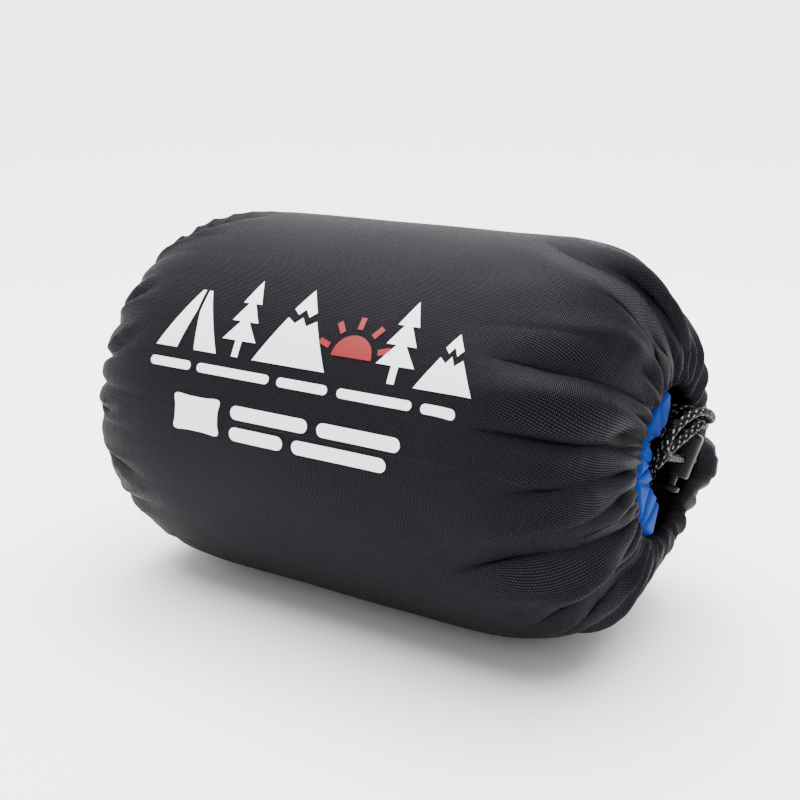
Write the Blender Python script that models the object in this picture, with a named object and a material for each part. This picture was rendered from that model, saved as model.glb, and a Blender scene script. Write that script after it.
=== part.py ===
"""Camp pillow packed in its drawstring stuff sack.

Metres, +Z up. The sack lies on z = 0 with its length along X: the sewn base is at -X, the drawn
mouth at +X and the printed side faces -Y. Cloth parts are plain turned shells.
"""
import math

import bmesh
import bpy
from mathutils import Matrix, Vector

# Fits
GAP = 0.0003

# Stuff sack
SACK_LENGTH = 0.225
SACK_RADIUS = 0.075
FLOOR_SAG = 0.0015
CLOTH = 0.001
CORNER_POWER = 2.9
BASE_ROUNDING = 0.062
BASE_FLAT_RADIUS = 0.033
BASE_SEAM_INSET = 0.013
BINDING_WIDTH = 0.009
BINDING_THICKNESS = 0.0016
SEGMENTS = 40
SIDE_STEPS = 7
END_STEPS = 4
BINDING_STEPS = 2

# Drawn mouth: a hem with the cord in a channel at its edge
MOUTH_ROUNDING = 0.052
CHANNEL_RING_RADIUS = 0.031
CHANNEL_PLAY = 0.0006
CHANNEL_WALL = 0.0013
HEM_WIDTH = 0.029
HEM_PLIES = 2
SLIT_ANGLE = math.radians(-14.0)
SLIT_LENGTH = 0.018
SLIT_PLAY = 0.0007
STRAND_EXIT_X = -0.0034
MOUTH_STEPS = 9
LINING_STEPS = 6
HEM_STEPS = 3
BEAD_SIDES = 12
OUTER_PLY_LAP = 0.3
INNER_PLY_LAP = 1.3

# Packed pillow
PANEL = 0.0008
POCKET_AT = Vector((0.014, -0.0035))
POCKET_DEPTH = 0.0115
POCKET_FLOOR_RADIUS = 0.0205
POCKET_EDGE_RADIUS = 0.030
BULGE_AT = Vector((-0.0165, 0.0015))
BULGE_HEIGHT = 0.005
BULGE_RADIUS = 0.010
SHOULDER_STEPS = 6
FACE_RINGS = 7

# Drawcord
CORD_DIAMETER = 0.003
STRAND_GAP = 0.0002
CORD_STEP = 0.0065
KNOT_RADIUS = 0.0048
RING_STEPS = 28
RING_START_CLEARANCE = math.radians(1.5)

# Cord lock: its barrel leans, and the cord passes across it
LOCK_AT = Vector((0.0, 0.007, 0.0))
LOCK_LEAN = Vector((0.20, 0.35, 0.915))
CORD_CLEARANCE = 0.00035
PLUNGER_RADIUS = 0.0042
PLUNGER_FIT = 0.00025
BARREL_WALL = 0.00105
BARREL_END = 0.0014
BARREL_EDGE = 0.0008
SLOT_EDGE_SHARE = 0.9
PLUNGER_BRIDGE = 0.0014
PLUNGER_TRAVEL = 0.003
NECK_RADIUS = 0.0021
NECK_LENGTH = 0.0036
BUTTON_RADIUS = 0.0041
BUTTON_THICKNESS = 0.0022
SPRING_WIRE = 0.00045
SPRING_RADIUS = 0.0032
SPRING_TURNS = 3.5
SPRING_STEPS_PER_TURN = 14
ROUND_STEPS = 32

# Worked out from the sizes above
CORD_RADIUS = CORD_DIAMETER / 2
SLIT_HEIGHT = CORD_DIAMETER + 2 * SLIT_PLAY
STRAND_PITCH = CORD_DIAMETER + STRAND_GAP
AXIS_HEIGHT = SACK_RADIUS - FLOOR_SAG
BASE_SEAM_RADIUS = SACK_RADIUS - BASE_SEAM_INSET
CHANNEL_RADIUS = CORD_RADIUS + CHANNEL_PLAY
BEAD_RADIUS = CHANNEL_RADIUS + CHANNEL_WALL
HEM = HEM_PLIES * CLOTH
MOUTH = Vector((SACK_LENGTH / 2, 0.0, AXIS_HEIGHT))
CHANNEL_X = -BEAD_RADIUS
PILLOW_INSET = CLOTH + BINDING_THICKNESS + 4 * GAP
PILLOW_FACE_INSET = 2 * BEAD_RADIUS + GAP
LOCK_UP = LOCK_LEAN.normalized()
CORD_WAY = (Vector((0.0, -1.0, 0.0)) + LOCK_UP * LOCK_UP.y).normalized()
LOCK_OUT = LOCK_UP.cross(CORD_WAY)
SLOT_HALF_WIDTH = (STRAND_PITCH + CORD_DIAMETER) / 2 + CORD_CLEARANCE
SLOT_HALF_HEIGHT = CORD_RADIUS + CORD_CLEARANCE
BORE_RADIUS = PLUNGER_RADIUS + PLUNGER_FIT
BARREL_RADIUS = BORE_RADIUS + BARREL_WALL
PLUNGER_TOP = SLOT_HALF_HEIGHT + PLUNGER_BRIDGE
PLUNGER_BOTTOM = -SLOT_HALF_HEIGHT - PLUNGER_TRAVEL - PLUNGER_BRIDGE
SPRING_SOLID = SPRING_WIRE * (SPRING_TURNS + 1)
BORE_TOP = PLUNGER_TOP + PLUNGER_TRAVEL + SPRING_SOLID + 2 * GAP
BARREL_TOP = BORE_TOP + BARREL_END

# Route of each strand from the channel to the lock and from the lock to the knot, in metres from
# the middle of the mouth: the strand nearer the outside, then the one behind it.
OUTER_FROM_CHANNEL = [(-0.0034, 0.0298, -0.0017), (-0.0024, 0.0266, -0.0041), (-0.0004, 0.0229, -0.0052)]
INNER_FROM_CHANNEL = [(-0.0036, 0.0281, -0.0119), (-0.0042, 0.0254, -0.0085), (-0.0034, 0.0222, -0.0059)]
OUTER_OVER_LOCK = [
    (0.0024, -0.0060, 0.0043), (0.0026, -0.0120, 0.0067), (0.0030, -0.0162, 0.0107),
    (0.0045, -0.0150, 0.0159), (0.0064, -0.0106, 0.0193), (0.0082, -0.0055, 0.0210),
    (0.0096, 0.0001, 0.0206), (0.0102, 0.0055, 0.0185), (0.0094, 0.0105, 0.0155),
    (0.0070, 0.0148, 0.0133), (0.0030, 0.0178, 0.0137), (-0.0016, 0.0186, 0.0147),
]
INNER_OVER_LOCK = [
    (-0.0016, -0.0060, 0.0029), (-0.0012, -0.0115, 0.0027), (0.0006, -0.0150, 0.0047),
    (0.0026, -0.0142, 0.0079), (0.0042, -0.0095, 0.0103), (0.0058, -0.0030, 0.0123),
    (0.0072, 0.0028, 0.0141), (0.0075, 0.0080, 0.0136), (0.0060, 0.0130, 0.0113),
    (0.0024, 0.0166, 0.0107), (-0.0020, 0.0192, 0.0111),
]
# The spare cord lies coiled in the pocket: start radius, end radius, start and end angle.
OUTER_COIL = (0.0186, 0.0109, math.radians(78), math.radians(-236))
INNER_COIL = (0.0152, 0.0074, math.radians(66), math.radians(-242))
COIL_TOP = -0.0078
COIL_BOTTOM = -0.0162
COIL_DROP = 0.3
COIL_RISE = 0.75
COIL_END = -0.0133
COIL_POINTS = 14
STRAIGHT_STRETCH = (-0.012, -0.006, 0.0, 0.006, 0.0075)


def remove_objects():
    for item in list(bpy.data.objects):
        bpy.data.objects.remove(item, do_unlink=True)


def make_material(name, colour, roughness, metallic=0.0):
    material = bpy.data.materials.new(name)
    material.use_nodes = True
    shader = material.node_tree.nodes["Principled BSDF"]
    shader.inputs["Base Color"].default_value = (*colour, 1.0)
    shader.inputs["Roughness"].default_value = roughness
    shader.inputs["Metallic"].default_value = metallic
    return material


def add_object(name, bm, material, crease=50.0):
    """Turn a bmesh into a named object, shaded smooth except at sharp edges."""
    mesh = bpy.data.meshes.new(name)
    bm.to_mesh(mesh)
    bm.free()
    mesh.materials.append(material)
    mesh.shade_smooth()
    mesh.set_sharp_from_angle(angle=math.radians(crease))
    part = bpy.data.objects.new(name, mesh)
    bpy.context.collection.objects.link(part)
    return part


# Sack outline

def dome_point(side, angle, end_inset, side_inset):
    """A point of the sack's outline: angle 0 is its flat end, 90 degrees its full radius."""
    if side > 0:
        flat = CHANNEL_RING_RADIUS
        depth = MOUTH_ROUNDING
    else:
        flat = BASE_FLAT_RADIUS
        depth = BASE_ROUNDING
    power = 2.0 / CORNER_POWER
    along = (depth - end_inset) * max(math.cos(angle), 0.0) ** power
    out = (SACK_RADIUS - flat - side_inset) * max(math.sin(angle), 0.0) ** power
    return side * (SACK_LENGTH / 2 - depth + along), flat + out


def dome_arc(side, start, end, steps, end_inset, side_inset):
    turn = (end - start) / steps
    return [dome_point(side, start + turn * i, end_inset, side_inset) for i in range(steps + 1)]


def angle_at_radius(side, radius):
    flat = CHANNEL_RING_RADIUS if side > 0 else BASE_FLAT_RADIUS
    share = (radius - flat) / (SACK_RADIUS - flat)
    return math.asin(share ** (CORNER_POWER / 2))


def angle_at_length(side, length):
    """The angle at which the outline, measured from the edge of the mouth, has run this length."""
    angle = 0.0
    step = math.radians(0.5)
    run = 0.0
    last = Vector(dome_point(side, angle, 0.0, 0.0))
    while run < length:
        angle += step
        point = Vector(dome_point(side, angle, 0.0, 0.0))
        run += (point - last).length
        last = point
    return angle


def with_rest(points, rest):
    """Give each outline point the height that it keeps above the ground."""
    return [(x, radius, rest) for x, radius in points]


def turn_outline(outline, closed):
    """Spin an outline of (x, radius, rest height) round the sack's axis and lay it on the ground."""
    bm = bmesh.new()
    rest_height = bm.verts.layers.float.new("rest_height")
    verts = []
    for x, radius, rest in outline:
        vert = bm.verts.new((x, 0.0, -radius))
        vert[rest_height] = rest
        verts.append(vert)
    for first, second in zip(verts, verts[1:]):
        bm.edges.new((first, second))
    if closed:
        bm.edges.new((verts[-1], verts[0]))
    bmesh.ops.spin(
        bm, geom=bm.verts[:] + bm.edges[:], cent=(0, 0, 0), axis=(1, 0, 0),
        angle=2 * math.pi, steps=SEGMENTS, use_merge=True)
    bmesh.ops.remove_doubles(bm, verts=bm.verts[:], dist=1e-6)
    bmesh.ops.recalc_face_normals(bm, faces=bm.faces[:])
    bmesh.ops.translate(bm, verts=bm.verts[:], vec=(0, 0, AXIS_HEIGHT))
    for vert in bm.verts:
        vert.co.z = max(vert.co.z, vert[rest_height])
    return bm


# Cutters

def cut_away(part, cutters):
    for cutter in cutters:
        cutter.hide_render = True
        cutter.display_type = "WIRE"
        cut = part.modifiers.new(cutter.name, "BOOLEAN")
        cut.operation = "DIFFERENCE"
        cut.solver = "EXACT"
        cut.object = cutter


def channel_cutter(material):
    """A ring the size of the cord channel inside the hem's edge."""
    bm = bmesh.new()
    bmesh.ops.create_circle(bm, segments=BEAD_SIDES, radius=CHANNEL_RADIUS)
    place = Matrix.Translation((CHANNEL_X, 0, -CHANNEL_RING_RADIUS))
    turn = Matrix.Rotation(math.radians(90), 4, "X")
    bmesh.ops.transform(bm, matrix=place @ turn, verts=bm.verts[:])
    half_step = Matrix.Rotation(math.pi / SEGMENTS, 3, "X")
    bmesh.ops.rotate(bm, cent=(0, 0, 0), matrix=half_step, verts=bm.verts[:])
    profile = bm.verts[:] + bm.edges[:]
    bmesh.ops.spin(
        bm, geom=profile, cent=(0, 0, 0), axis=(1, 0, 0), angle=2 * math.pi, steps=SEGMENTS, use_merge=True)
    bmesh.ops.remove_doubles(bm, verts=bm.verts[:], dist=1e-6)
    bmesh.ops.recalc_face_normals(bm, faces=bm.faces[:])
    bmesh.ops.translate(bm, verts=bm.verts[:], vec=MOUTH)
    return add_object("channel_cutter", bm, material)


def slit_cutter(material):
    """A block from the channel through the hem's inner edge, where both strands come out."""
    reach = 2 * BEAD_RADIUS
    bm = bmesh.new()
    bmesh.ops.create_cube(bm, size=1.0)
    bmesh.ops.scale(bm, verts=bm.verts[:], vec=(SLIT_HEIGHT, reach, SLIT_LENGTH))
    bmesh.ops.translate(bm, verts=bm.verts[:], vec=(STRAND_EXIT_X, CHANNEL_RING_RADIUS - reach / 2, 0))
    bmesh.ops.rotate(bm, cent=(0, 0, 0), matrix=Matrix.Rotation(SLIT_ANGLE, 3, "X"), verts=bm.verts[:])
    bmesh.ops.translate(bm, verts=bm.verts[:], vec=MOUTH)
    return add_object("slit_cutter", bm, material)


# Sack

def make_sack_tube(material):
    """Side panel: base edge, side, drawn mouth with its corded edge, and the hem's inner ply."""
    full = math.radians(90)
    base_edge = angle_at_radius(-1, BASE_SEAM_RADIUS + GAP / 2)
    rim = angle_at_radius(1, CHANNEL_RING_RADIUS + OUTER_PLY_LAP * BEAD_RADIUS)
    hem_end = angle_at_length(1, HEM_WIDTH)
    outside = dome_arc(-1, base_edge, full, SIDE_STEPS, 0.0, 0.0)
    outside += dome_arc(1, full, rim, MOUTH_STEPS, 0.0, 0.0)
    bead = []
    for step in range(3 * BEAD_SIDES // 4 + 1):
        turn = math.radians(90) + 2 * math.pi * step / BEAD_SIDES
        bead.append((
            MOUTH.x + CHANNEL_X + BEAD_RADIUS * math.sin(turn),
            CHANNEL_RING_RADIUS + BEAD_RADIUS * math.cos(turn)))
    inner_rim = angle_at_radius(1, CHANNEL_RING_RADIUS + INNER_PLY_LAP * BEAD_RADIUS)
    hem_ply = dome_arc(1, inner_rim, hem_end, HEM_STEPS, HEM, HEM)
    inside = dome_arc(1, hem_end, full, LINING_STEPS, CLOTH, CLOTH)
    inside += dome_arc(-1, full, base_edge, SIDE_STEPS, CLOTH, CLOTH)
    outline = with_rest(outside, 0.0) + with_rest(bead + hem_ply + inside, CLOTH)
    part = add_object("sack_tube", turn_outline(outline, closed=True), material)
    cut_away(part, [channel_cutter(material), slit_cutter(material)])


def make_sack_base(material):
    """Round end panel, bowed out by the pillow behind it."""
    edge = angle_at_radius(-1, BASE_SEAM_RADIUS - GAP / 2)
    outside = [(-SACK_LENGTH / 2, 0.0)] + dome_arc(-1, 0.0, edge, END_STEPS, 0.0, 0.0)
    inside = dome_arc(-1, edge, 0.0, END_STEPS, CLOTH, CLOTH) + [(-SACK_LENGTH / 2 + CLOTH, 0.0)]
    outline = with_rest(outside + inside, 0.0)
    add_object("sack_base", turn_outline(outline, closed=False), material)


def make_base_binding(material):
    """Tape over the seam that joins the side panel to the end panel, inside the sack."""
    start = angle_at_radius(-1, BASE_SEAM_RADIUS - BINDING_WIDTH / 2)
    end = angle_at_radius(-1, BASE_SEAM_RADIUS + BINDING_WIDTH / 2)
    outer_inset = CLOTH + GAP
    inner_inset = outer_inset + BINDING_THICKNESS
    outline = dome_arc(-1, start, end, BINDING_STEPS, outer_inset, outer_inset)
    outline += dome_arc(-1, end, start, BINDING_STEPS, inner_inset, inner_inset)
    add_object("base_binding", turn_outline(with_rest(outline, 0.0), closed=True), material)


# Pillow

def ease(share):
    share = min(max(share, 0.0), 1.0)
    return share * share * (3 - 2 * share)


def pillow_surface():
    """The packed pillow's skin: it fills the sack, with a fold and a pocket in the mouth."""
    full = math.radians(90)
    face = SACK_LENGTH / 2 - PILLOW_FACE_INSET
    outline = [(-SACK_LENGTH / 2 + PILLOW_INSET, 0.0)]
    outline += dome_arc(-1, 0.0, full, SHOULDER_STEPS, PILLOW_INSET, PILLOW_INSET)
    outline += dome_arc(1, full, 0.0, SHOULDER_STEPS, PILLOW_FACE_INSET, PILLOW_INSET)
    ring_width = CHANNEL_RING_RADIUS / (FACE_RINGS + 1)
    outline += [(face, ring_width * (FACE_RINGS - i)) for i in range(FACE_RINGS)]
    outline += [(face, 0.0)]
    bm = turn_outline(with_rest(outline, PILLOW_INSET), closed=False)
    for vert in bm.verts:
        if vert.co.x < face - PILLOW_FACE_INSET:
            continue
        across = Vector((vert.co.y, vert.co.z - AXIS_HEIGHT))
        pocket = (across - POCKET_AT).length - POCKET_FLOOR_RADIUS
        bulge = (across - BULGE_AT).length / BULGE_RADIUS
        vert.co.x -= POCKET_DEPTH * (1 - ease(pocket / (POCKET_EDGE_RADIUS - POCKET_FLOOR_RADIUS)))
        vert.co.x += BULGE_HEIGHT * (1 - ease(bulge))
    bmesh.ops.recalc_face_normals(bm, faces=bm.faces[:])
    return bm


def make_pillow_panel(name, side, material):
    """Half of the pillow's shell, up to the seam round its edge."""
    bm = pillow_surface()
    away = [face for face in bm.faces if face.calc_center_median().y * side < 0]
    bmesh.ops.delete(bm, geom=away, context="FACES")
    bmesh.ops.translate(bm, verts=bm.verts[:], vec=(0, side * GAP, 0))
    part = add_object(name, bm, material)
    wall = part.modifiers.new("panel", "SOLIDIFY")
    wall.thickness = PANEL
    wall.offset = -1.0


def make_pillow_fill(material):
    bm = pillow_surface()
    bm.normal_update()
    inset = PANEL + 2 * GAP
    moves = [(vert, vert.normal.copy()) for vert in bm.verts]
    for vert, normal in moves:
        vert.co -= normal * inset
    add_object("pillow_fill", bm, material)


# Cord

def lock_point(way, up, out):
    """A point in the lock's own directions: along the cord, along the plunger, outwards."""
    return MOUTH + LOCK_AT + CORD_WAY * way + LOCK_UP * up + LOCK_OUT * out


def channel_point(angle):
    ring = Vector((CHANNEL_X, math.cos(angle) * CHANNEL_RING_RADIUS, math.sin(angle) * CHANNEL_RING_RADIUS))
    return MOUTH + ring


def coil_points(coil):
    """Spare cord: a spiral that drops to the pocket's floor and rises again to the knot."""
    start_radius, end_radius, start_angle, end_angle = coil
    points = []
    for i in range(COIL_POINTS):
        share = i / (COIL_POINTS - 1)
        radius = start_radius + (end_radius - start_radius) * share
        angle = start_angle + (end_angle - start_angle) * share
        x = COIL_TOP + (COIL_BOTTOM - COIL_TOP) * ease(share / COIL_DROP)
        x += (COIL_END - COIL_BOTTOM) * ease((share - COIL_RISE) / (1 - COIL_RISE))
        across = POCKET_AT + Vector((math.cos(angle), math.sin(angle))) * radius
        points.append(MOUTH + Vector((x, across.x, across.y)))
    return points


def strand_points(from_channel, over_lock, coil, side):
    points = [MOUTH + Vector(point) for point in from_channel]
    points += [lock_point(way, 0.0, side * STRAND_PITCH / 2) for way in STRAIGHT_STRETCH]
    points += [MOUTH + Vector(point) for point in over_lock]
    return points + coil_points(coil)


def cord_route():
    """Knot, outer strand, once round the channel, inner strand, knot."""
    outer = strand_points(OUTER_FROM_CHANNEL, OUTER_OVER_LOCK, OUTER_COIL, 1)
    inner = strand_points(INNER_FROM_CHANNEL, INNER_OVER_LOCK, INNER_COIL, -1)
    half_slit = math.asin(SLIT_LENGTH / 2 / CHANNEL_RING_RADIUS)
    start = SLIT_ANGLE + half_slit + RING_START_CLEARANCE
    sweep = 2 * math.pi - 2 * (start - SLIT_ANGLE)
    ring = [channel_point(start + sweep * i / RING_STEPS) for i in range(RING_STEPS + 1)]
    return outer[::-1] + ring + inner


def smooth_through(points, per_span=8):
    """A centripetal Catmull-Rom curve through the points, as a dense line."""
    ends = [points[0] * 2 - points[1]] + points + [points[-1] * 2 - points[-2]]
    line = []
    for p0, p1, p2, p3 in zip(ends, ends[1:], ends[2:], ends[3:]):
        t1 = math.sqrt((p1 - p0).length)
        t2 = t1 + math.sqrt((p2 - p1).length)
        t3 = t2 + math.sqrt((p3 - p2).length)
        for i in range(per_span):
            t = t1 + (t2 - t1) * i / per_span
            a1 = p0 * ((t1 - t) / t1) + p1 * (t / t1)
            a2 = p1 * ((t2 - t) / (t2 - t1)) + p2 * ((t - t1) / (t2 - t1))
            a3 = p2 * ((t3 - t) / (t3 - t2)) + p3 * ((t - t2) / (t3 - t2))
            b1 = a1 * ((t2 - t) / t2) + a2 * (t / t2)
            b2 = a2 * ((t3 - t) / (t3 - t1)) + a3 * ((t - t1) / (t3 - t1))
            line.append(b1 * ((t2 - t) / (t2 - t1)) + b2 * ((t - t1) / (t2 - t1)))
    return line + [points[-1]]


def even_points(line, step):
    """Points at an even step along a dense line, with both ends kept."""
    lengths = [0.0]
    for first, second in zip(line, line[1:]):
        lengths.append(lengths[-1] + (second - first).length)
    count = round(lengths[-1] / step)
    points = []
    index = 0
    for i in range(count + 1):
        target = lengths[-1] * i / count
        while index < len(line) - 2 and lengths[index + 1] < target:
            index += 1
        share = (target - lengths[index]) / (lengths[index + 1] - lengths[index])
        points.append(line[index].lerp(line[index + 1], share))
    return points


def tube_curve(name, points, radius, material, sides=2):
    curve = bpy.data.curves.new(name, "CURVE")
    curve.dimensions = "3D"
    curve.bevel_depth = radius
    curve.bevel_resolution = sides
    curve.use_fill_caps = True
    spline = curve.splines.new("POLY")
    spline.points.add(len(points) - 1)
    for slot, point in zip(spline.points, points):
        slot.co = (*point, 1.0)
    curve.materials.append(material)
    part = bpy.data.objects.new(name, curve)
    bpy.context.collection.objects.link(part)
    return part


def make_drawcord(material):
    tube_curve("drawcord", even_points(smooth_through(cord_route()), CORD_STEP), CORD_RADIUS, material)


def make_cord_knot(material):
    """Overhand knot that ties both ends of the cord together, as one rounded lump."""
    outer = coil_points(OUTER_COIL)
    inner = coil_points(INNER_COIL)
    ends = (outer[-1] + inner[-1]) / 2
    before = (outer[-2] + inner[-2]) / 2
    centre = ends + (ends - before).normalized() * (KNOT_RADIUS + 2 * GAP)
    bm = bmesh.new()
    bmesh.ops.create_icosphere(bm, subdivisions=3, radius=KNOT_RADIUS)
    bmesh.ops.translate(bm, verts=bm.verts[:], vec=centre)
    add_object("cord_knot", bm, material)


# Cord lock

def lock_placement():
    turn = Matrix((CORD_WAY, LOCK_OUT, LOCK_UP)).transposed()
    return Matrix.Translation(MOUTH + LOCK_AT) @ turn.to_4x4()


def turn_on_lock_axis(outline):
    """Spin an outline of (radius, height), from one end of the axis to the other, about Z."""
    bm = bmesh.new()
    verts = [bm.verts.new((radius, 0.0, height)) for radius, height in outline]
    for first, second in zip(verts, verts[1:]):
        bm.edges.new((first, second))
    bmesh.ops.spin(
        bm, geom=bm.verts[:] + bm.edges[:], cent=(0, 0, 0), axis=(0, 0, 1),
        angle=2 * math.pi, steps=ROUND_STEPS, use_merge=True)
    bmesh.ops.remove_doubles(bm, verts=bm.verts[:], dist=1e-6)
    bmesh.ops.recalc_face_normals(bm, faces=bm.faces[:])
    return bm


def rounded_corner(radius, height, size, outward, steps=3):
    """Points of a quarter-round edge; outward is 1 at the upper end of a piece, -1 at its lower end."""
    points = []
    for i in range(steps + 1):
        turn = math.radians(90) * i / steps
        if outward > 0:
            turn = math.radians(90) - turn
        points.append((
            radius - size + size * math.sin(turn),
            height - outward * size + outward * size * math.cos(turn)))
    return points


def slot_cutter(name, low, high, place, material):
    """A block across the lock, along the cord."""
    bm = bmesh.new()
    bmesh.ops.create_cube(bm, size=1.0)
    bmesh.ops.scale(bm, verts=bm.verts[:], vec=(4 * BARREL_RADIUS, 2 * SLOT_HALF_WIDTH, high - low))
    bmesh.ops.translate(bm, verts=bm.verts[:], vec=(0, 0, (low + high) / 2))
    edges = [edge for edge in bm.edges if abs(edge.verts[0].co.x - edge.verts[1].co.x) > BARREL_RADIUS]
    bmesh.ops.bevel(
        bm, geom=edges, offset=SLOT_EDGE_SHARE * SLOT_HALF_HEIGHT, segments=4,
        affect="EDGES", profile=0.5, material=-1)
    cutter = add_object(name, bm, material)
    cutter.matrix_world = place
    return cutter


def make_lock_body(place, material):
    outline = [(0.0, BORE_TOP), (BORE_RADIUS, BORE_TOP), (BORE_RADIUS, PLUNGER_BOTTOM)]
    outline += rounded_corner(BARREL_RADIUS, PLUNGER_BOTTOM, BARREL_EDGE, -1)
    outline += rounded_corner(BARREL_RADIUS, BARREL_TOP, 2 * BARREL_EDGE, 1)
    outline += [(0.0, BARREL_TOP)]
    body = add_object("cord_lock_body", turn_on_lock_axis(outline), material, crease=35.0)
    body.matrix_world = place
    cut_away(body, [slot_cutter("body_slot", -SLOT_HALF_HEIGHT, SLOT_HALF_HEIGHT, place, material)])


def make_lock_plunger(place, material):
    """Piston with the cord's window, neck and round push button."""
    button_top = PLUNGER_BOTTOM - NECK_LENGTH
    button_bottom = button_top - BUTTON_THICKNESS
    edge = BUTTON_THICKNESS / 3
    outline = [(0.0, button_bottom)]
    outline += rounded_corner(BUTTON_RADIUS, button_bottom, edge, -1)
    outline += rounded_corner(BUTTON_RADIUS, button_top, edge, 1)
    outline += [(NECK_RADIUS, button_top), (NECK_RADIUS, PLUNGER_BOTTOM), (PLUNGER_RADIUS, PLUNGER_BOTTOM)]
    outline += [(PLUNGER_RADIUS, PLUNGER_TOP), (0.0, PLUNGER_TOP)]
    plunger = add_object("cord_lock_plunger", turn_on_lock_axis(outline), material, crease=35.0)
    plunger.matrix_world = place
    low = -SLOT_HALF_HEIGHT - PLUNGER_TRAVEL
    cut_away(plunger, [slot_cutter("plunger_slot", low, SLOT_HALF_HEIGHT, place, material)])


def make_lock_spring(place, material):
    """Compression spring between the plunger and the closed end of the barrel."""
    low = PLUNGER_TOP + GAP + SPRING_WIRE / 2
    high = BORE_TOP - GAP - SPRING_WIRE / 2
    steps = round(SPRING_TURNS * SPRING_STEPS_PER_TURN)
    points = []
    for i in range(steps + 1):
        turn = 2 * math.pi * SPRING_TURNS * i / steps
        height = low + (high - low) * i / steps
        points.append(place @ Vector((
            SPRING_RADIUS * math.cos(turn), SPRING_RADIUS * math.sin(turn), height)))
    tube_curve("cord_lock_spring", points, SPRING_WIRE / 2, material, sides=1)


def main():
    remove_objects()
    nylon = make_material("black_nylon", (0.030, 0.029, 0.033), 0.55)
    tape = make_material("binding_tape", (0.020, 0.020, 0.022), 0.7)
    blue = make_material("blue_shell", (0.035, 0.12, 0.42), 0.6)
    fibre = make_material("white_fibre", (0.8, 0.8, 0.78), 0.9)
    braid = make_material("braided_cord", (0.025, 0.025, 0.025), 0.75)
    gloss = make_material("gloss_black", (0.010, 0.010, 0.011), 0.2)
    steel = make_material("spring_steel", (0.55, 0.55, 0.56), 0.3, 1.0)
    make_sack_tube(nylon)
    make_sack_base(nylon)
    make_base_binding(tape)
    make_pillow_panel("pillow_panel_front", -1, blue)
    make_pillow_panel("pillow_panel_back", 1, blue)
    make_pillow_fill(fibre)
    make_drawcord(braid)
    make_cord_knot(braid)
    place = lock_placement()
    make_lock_body(place, gloss)
    make_lock_plunger(place, gloss)
    make_lock_spring(place, steel)


main()
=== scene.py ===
"""Camp pillow in its drawstring stuff sack: cloth, cord and finishes built round the fixed frame."""
import math
import random

import bmesh
import bpy
import numpy as np
from bpy.props import FloatProperty, FloatVectorProperty, IntProperty, PointerProperty
from mathutils import Matrix, Vector


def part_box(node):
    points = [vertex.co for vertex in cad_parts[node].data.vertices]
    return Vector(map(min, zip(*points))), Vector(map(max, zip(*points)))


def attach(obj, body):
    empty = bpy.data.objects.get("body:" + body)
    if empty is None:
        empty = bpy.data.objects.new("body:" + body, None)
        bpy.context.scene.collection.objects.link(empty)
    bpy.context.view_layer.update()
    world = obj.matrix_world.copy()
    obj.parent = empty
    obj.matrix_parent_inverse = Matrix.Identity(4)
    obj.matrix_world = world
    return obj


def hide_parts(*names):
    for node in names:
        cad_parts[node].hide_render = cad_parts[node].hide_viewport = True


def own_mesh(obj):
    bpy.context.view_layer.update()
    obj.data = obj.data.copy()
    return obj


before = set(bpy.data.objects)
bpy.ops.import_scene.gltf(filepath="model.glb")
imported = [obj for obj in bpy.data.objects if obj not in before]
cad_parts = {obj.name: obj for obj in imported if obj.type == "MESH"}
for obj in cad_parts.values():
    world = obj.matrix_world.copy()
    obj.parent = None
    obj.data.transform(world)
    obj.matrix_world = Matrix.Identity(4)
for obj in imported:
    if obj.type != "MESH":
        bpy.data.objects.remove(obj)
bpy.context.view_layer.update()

bl_info = {
    "name": "Camp pillow in its stuff sack",
    "version": (1, 0, 0),
    "blender": (4, 5, 0),
    "location": "View3D > Sidebar > Camp pillow",
    "description": "Makes the gathered sack, the packed pillow, the drawcord and their finishes",
    "category": "Object",
}

# Sizes read from the frame
TUBE_LOW, TUBE_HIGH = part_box("sack_tube")
BASE_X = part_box("sack_base")[0].x
MOUTH_X = TUBE_HIGH.x
SACK_RADIUS = (TUBE_HIGH.y - TUBE_LOW.y) / 2
AXIS_HEIGHT = TUBE_HIGH.z - SACK_RADIUS
MOUTH = Vector((MOUTH_X, 0.0, AXIS_HEIGHT))

# Sizes of the sack that the frame's boxes don't give
CORNER_POWER = 2.9
BASE_ROUNDING = 0.062
BASE_FLAT_RADIUS = 0.033
BASE_SEAM_RADIUS = 0.062
BASE_CROWN = 0.0012
MOUTH_ROUNDING = 0.052
RING_RADIUS = 0.031
BEAD_RADIUS = 0.0034
PLY = 0.001
PILLOW_INSET = 0.0040
RIM_COVER = 0.0012
FLOOR_CLEARANCE = 0.0002
BUNCH_HEIGHT = 0.0062
BUNCH_REACH = 0.0026

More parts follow.
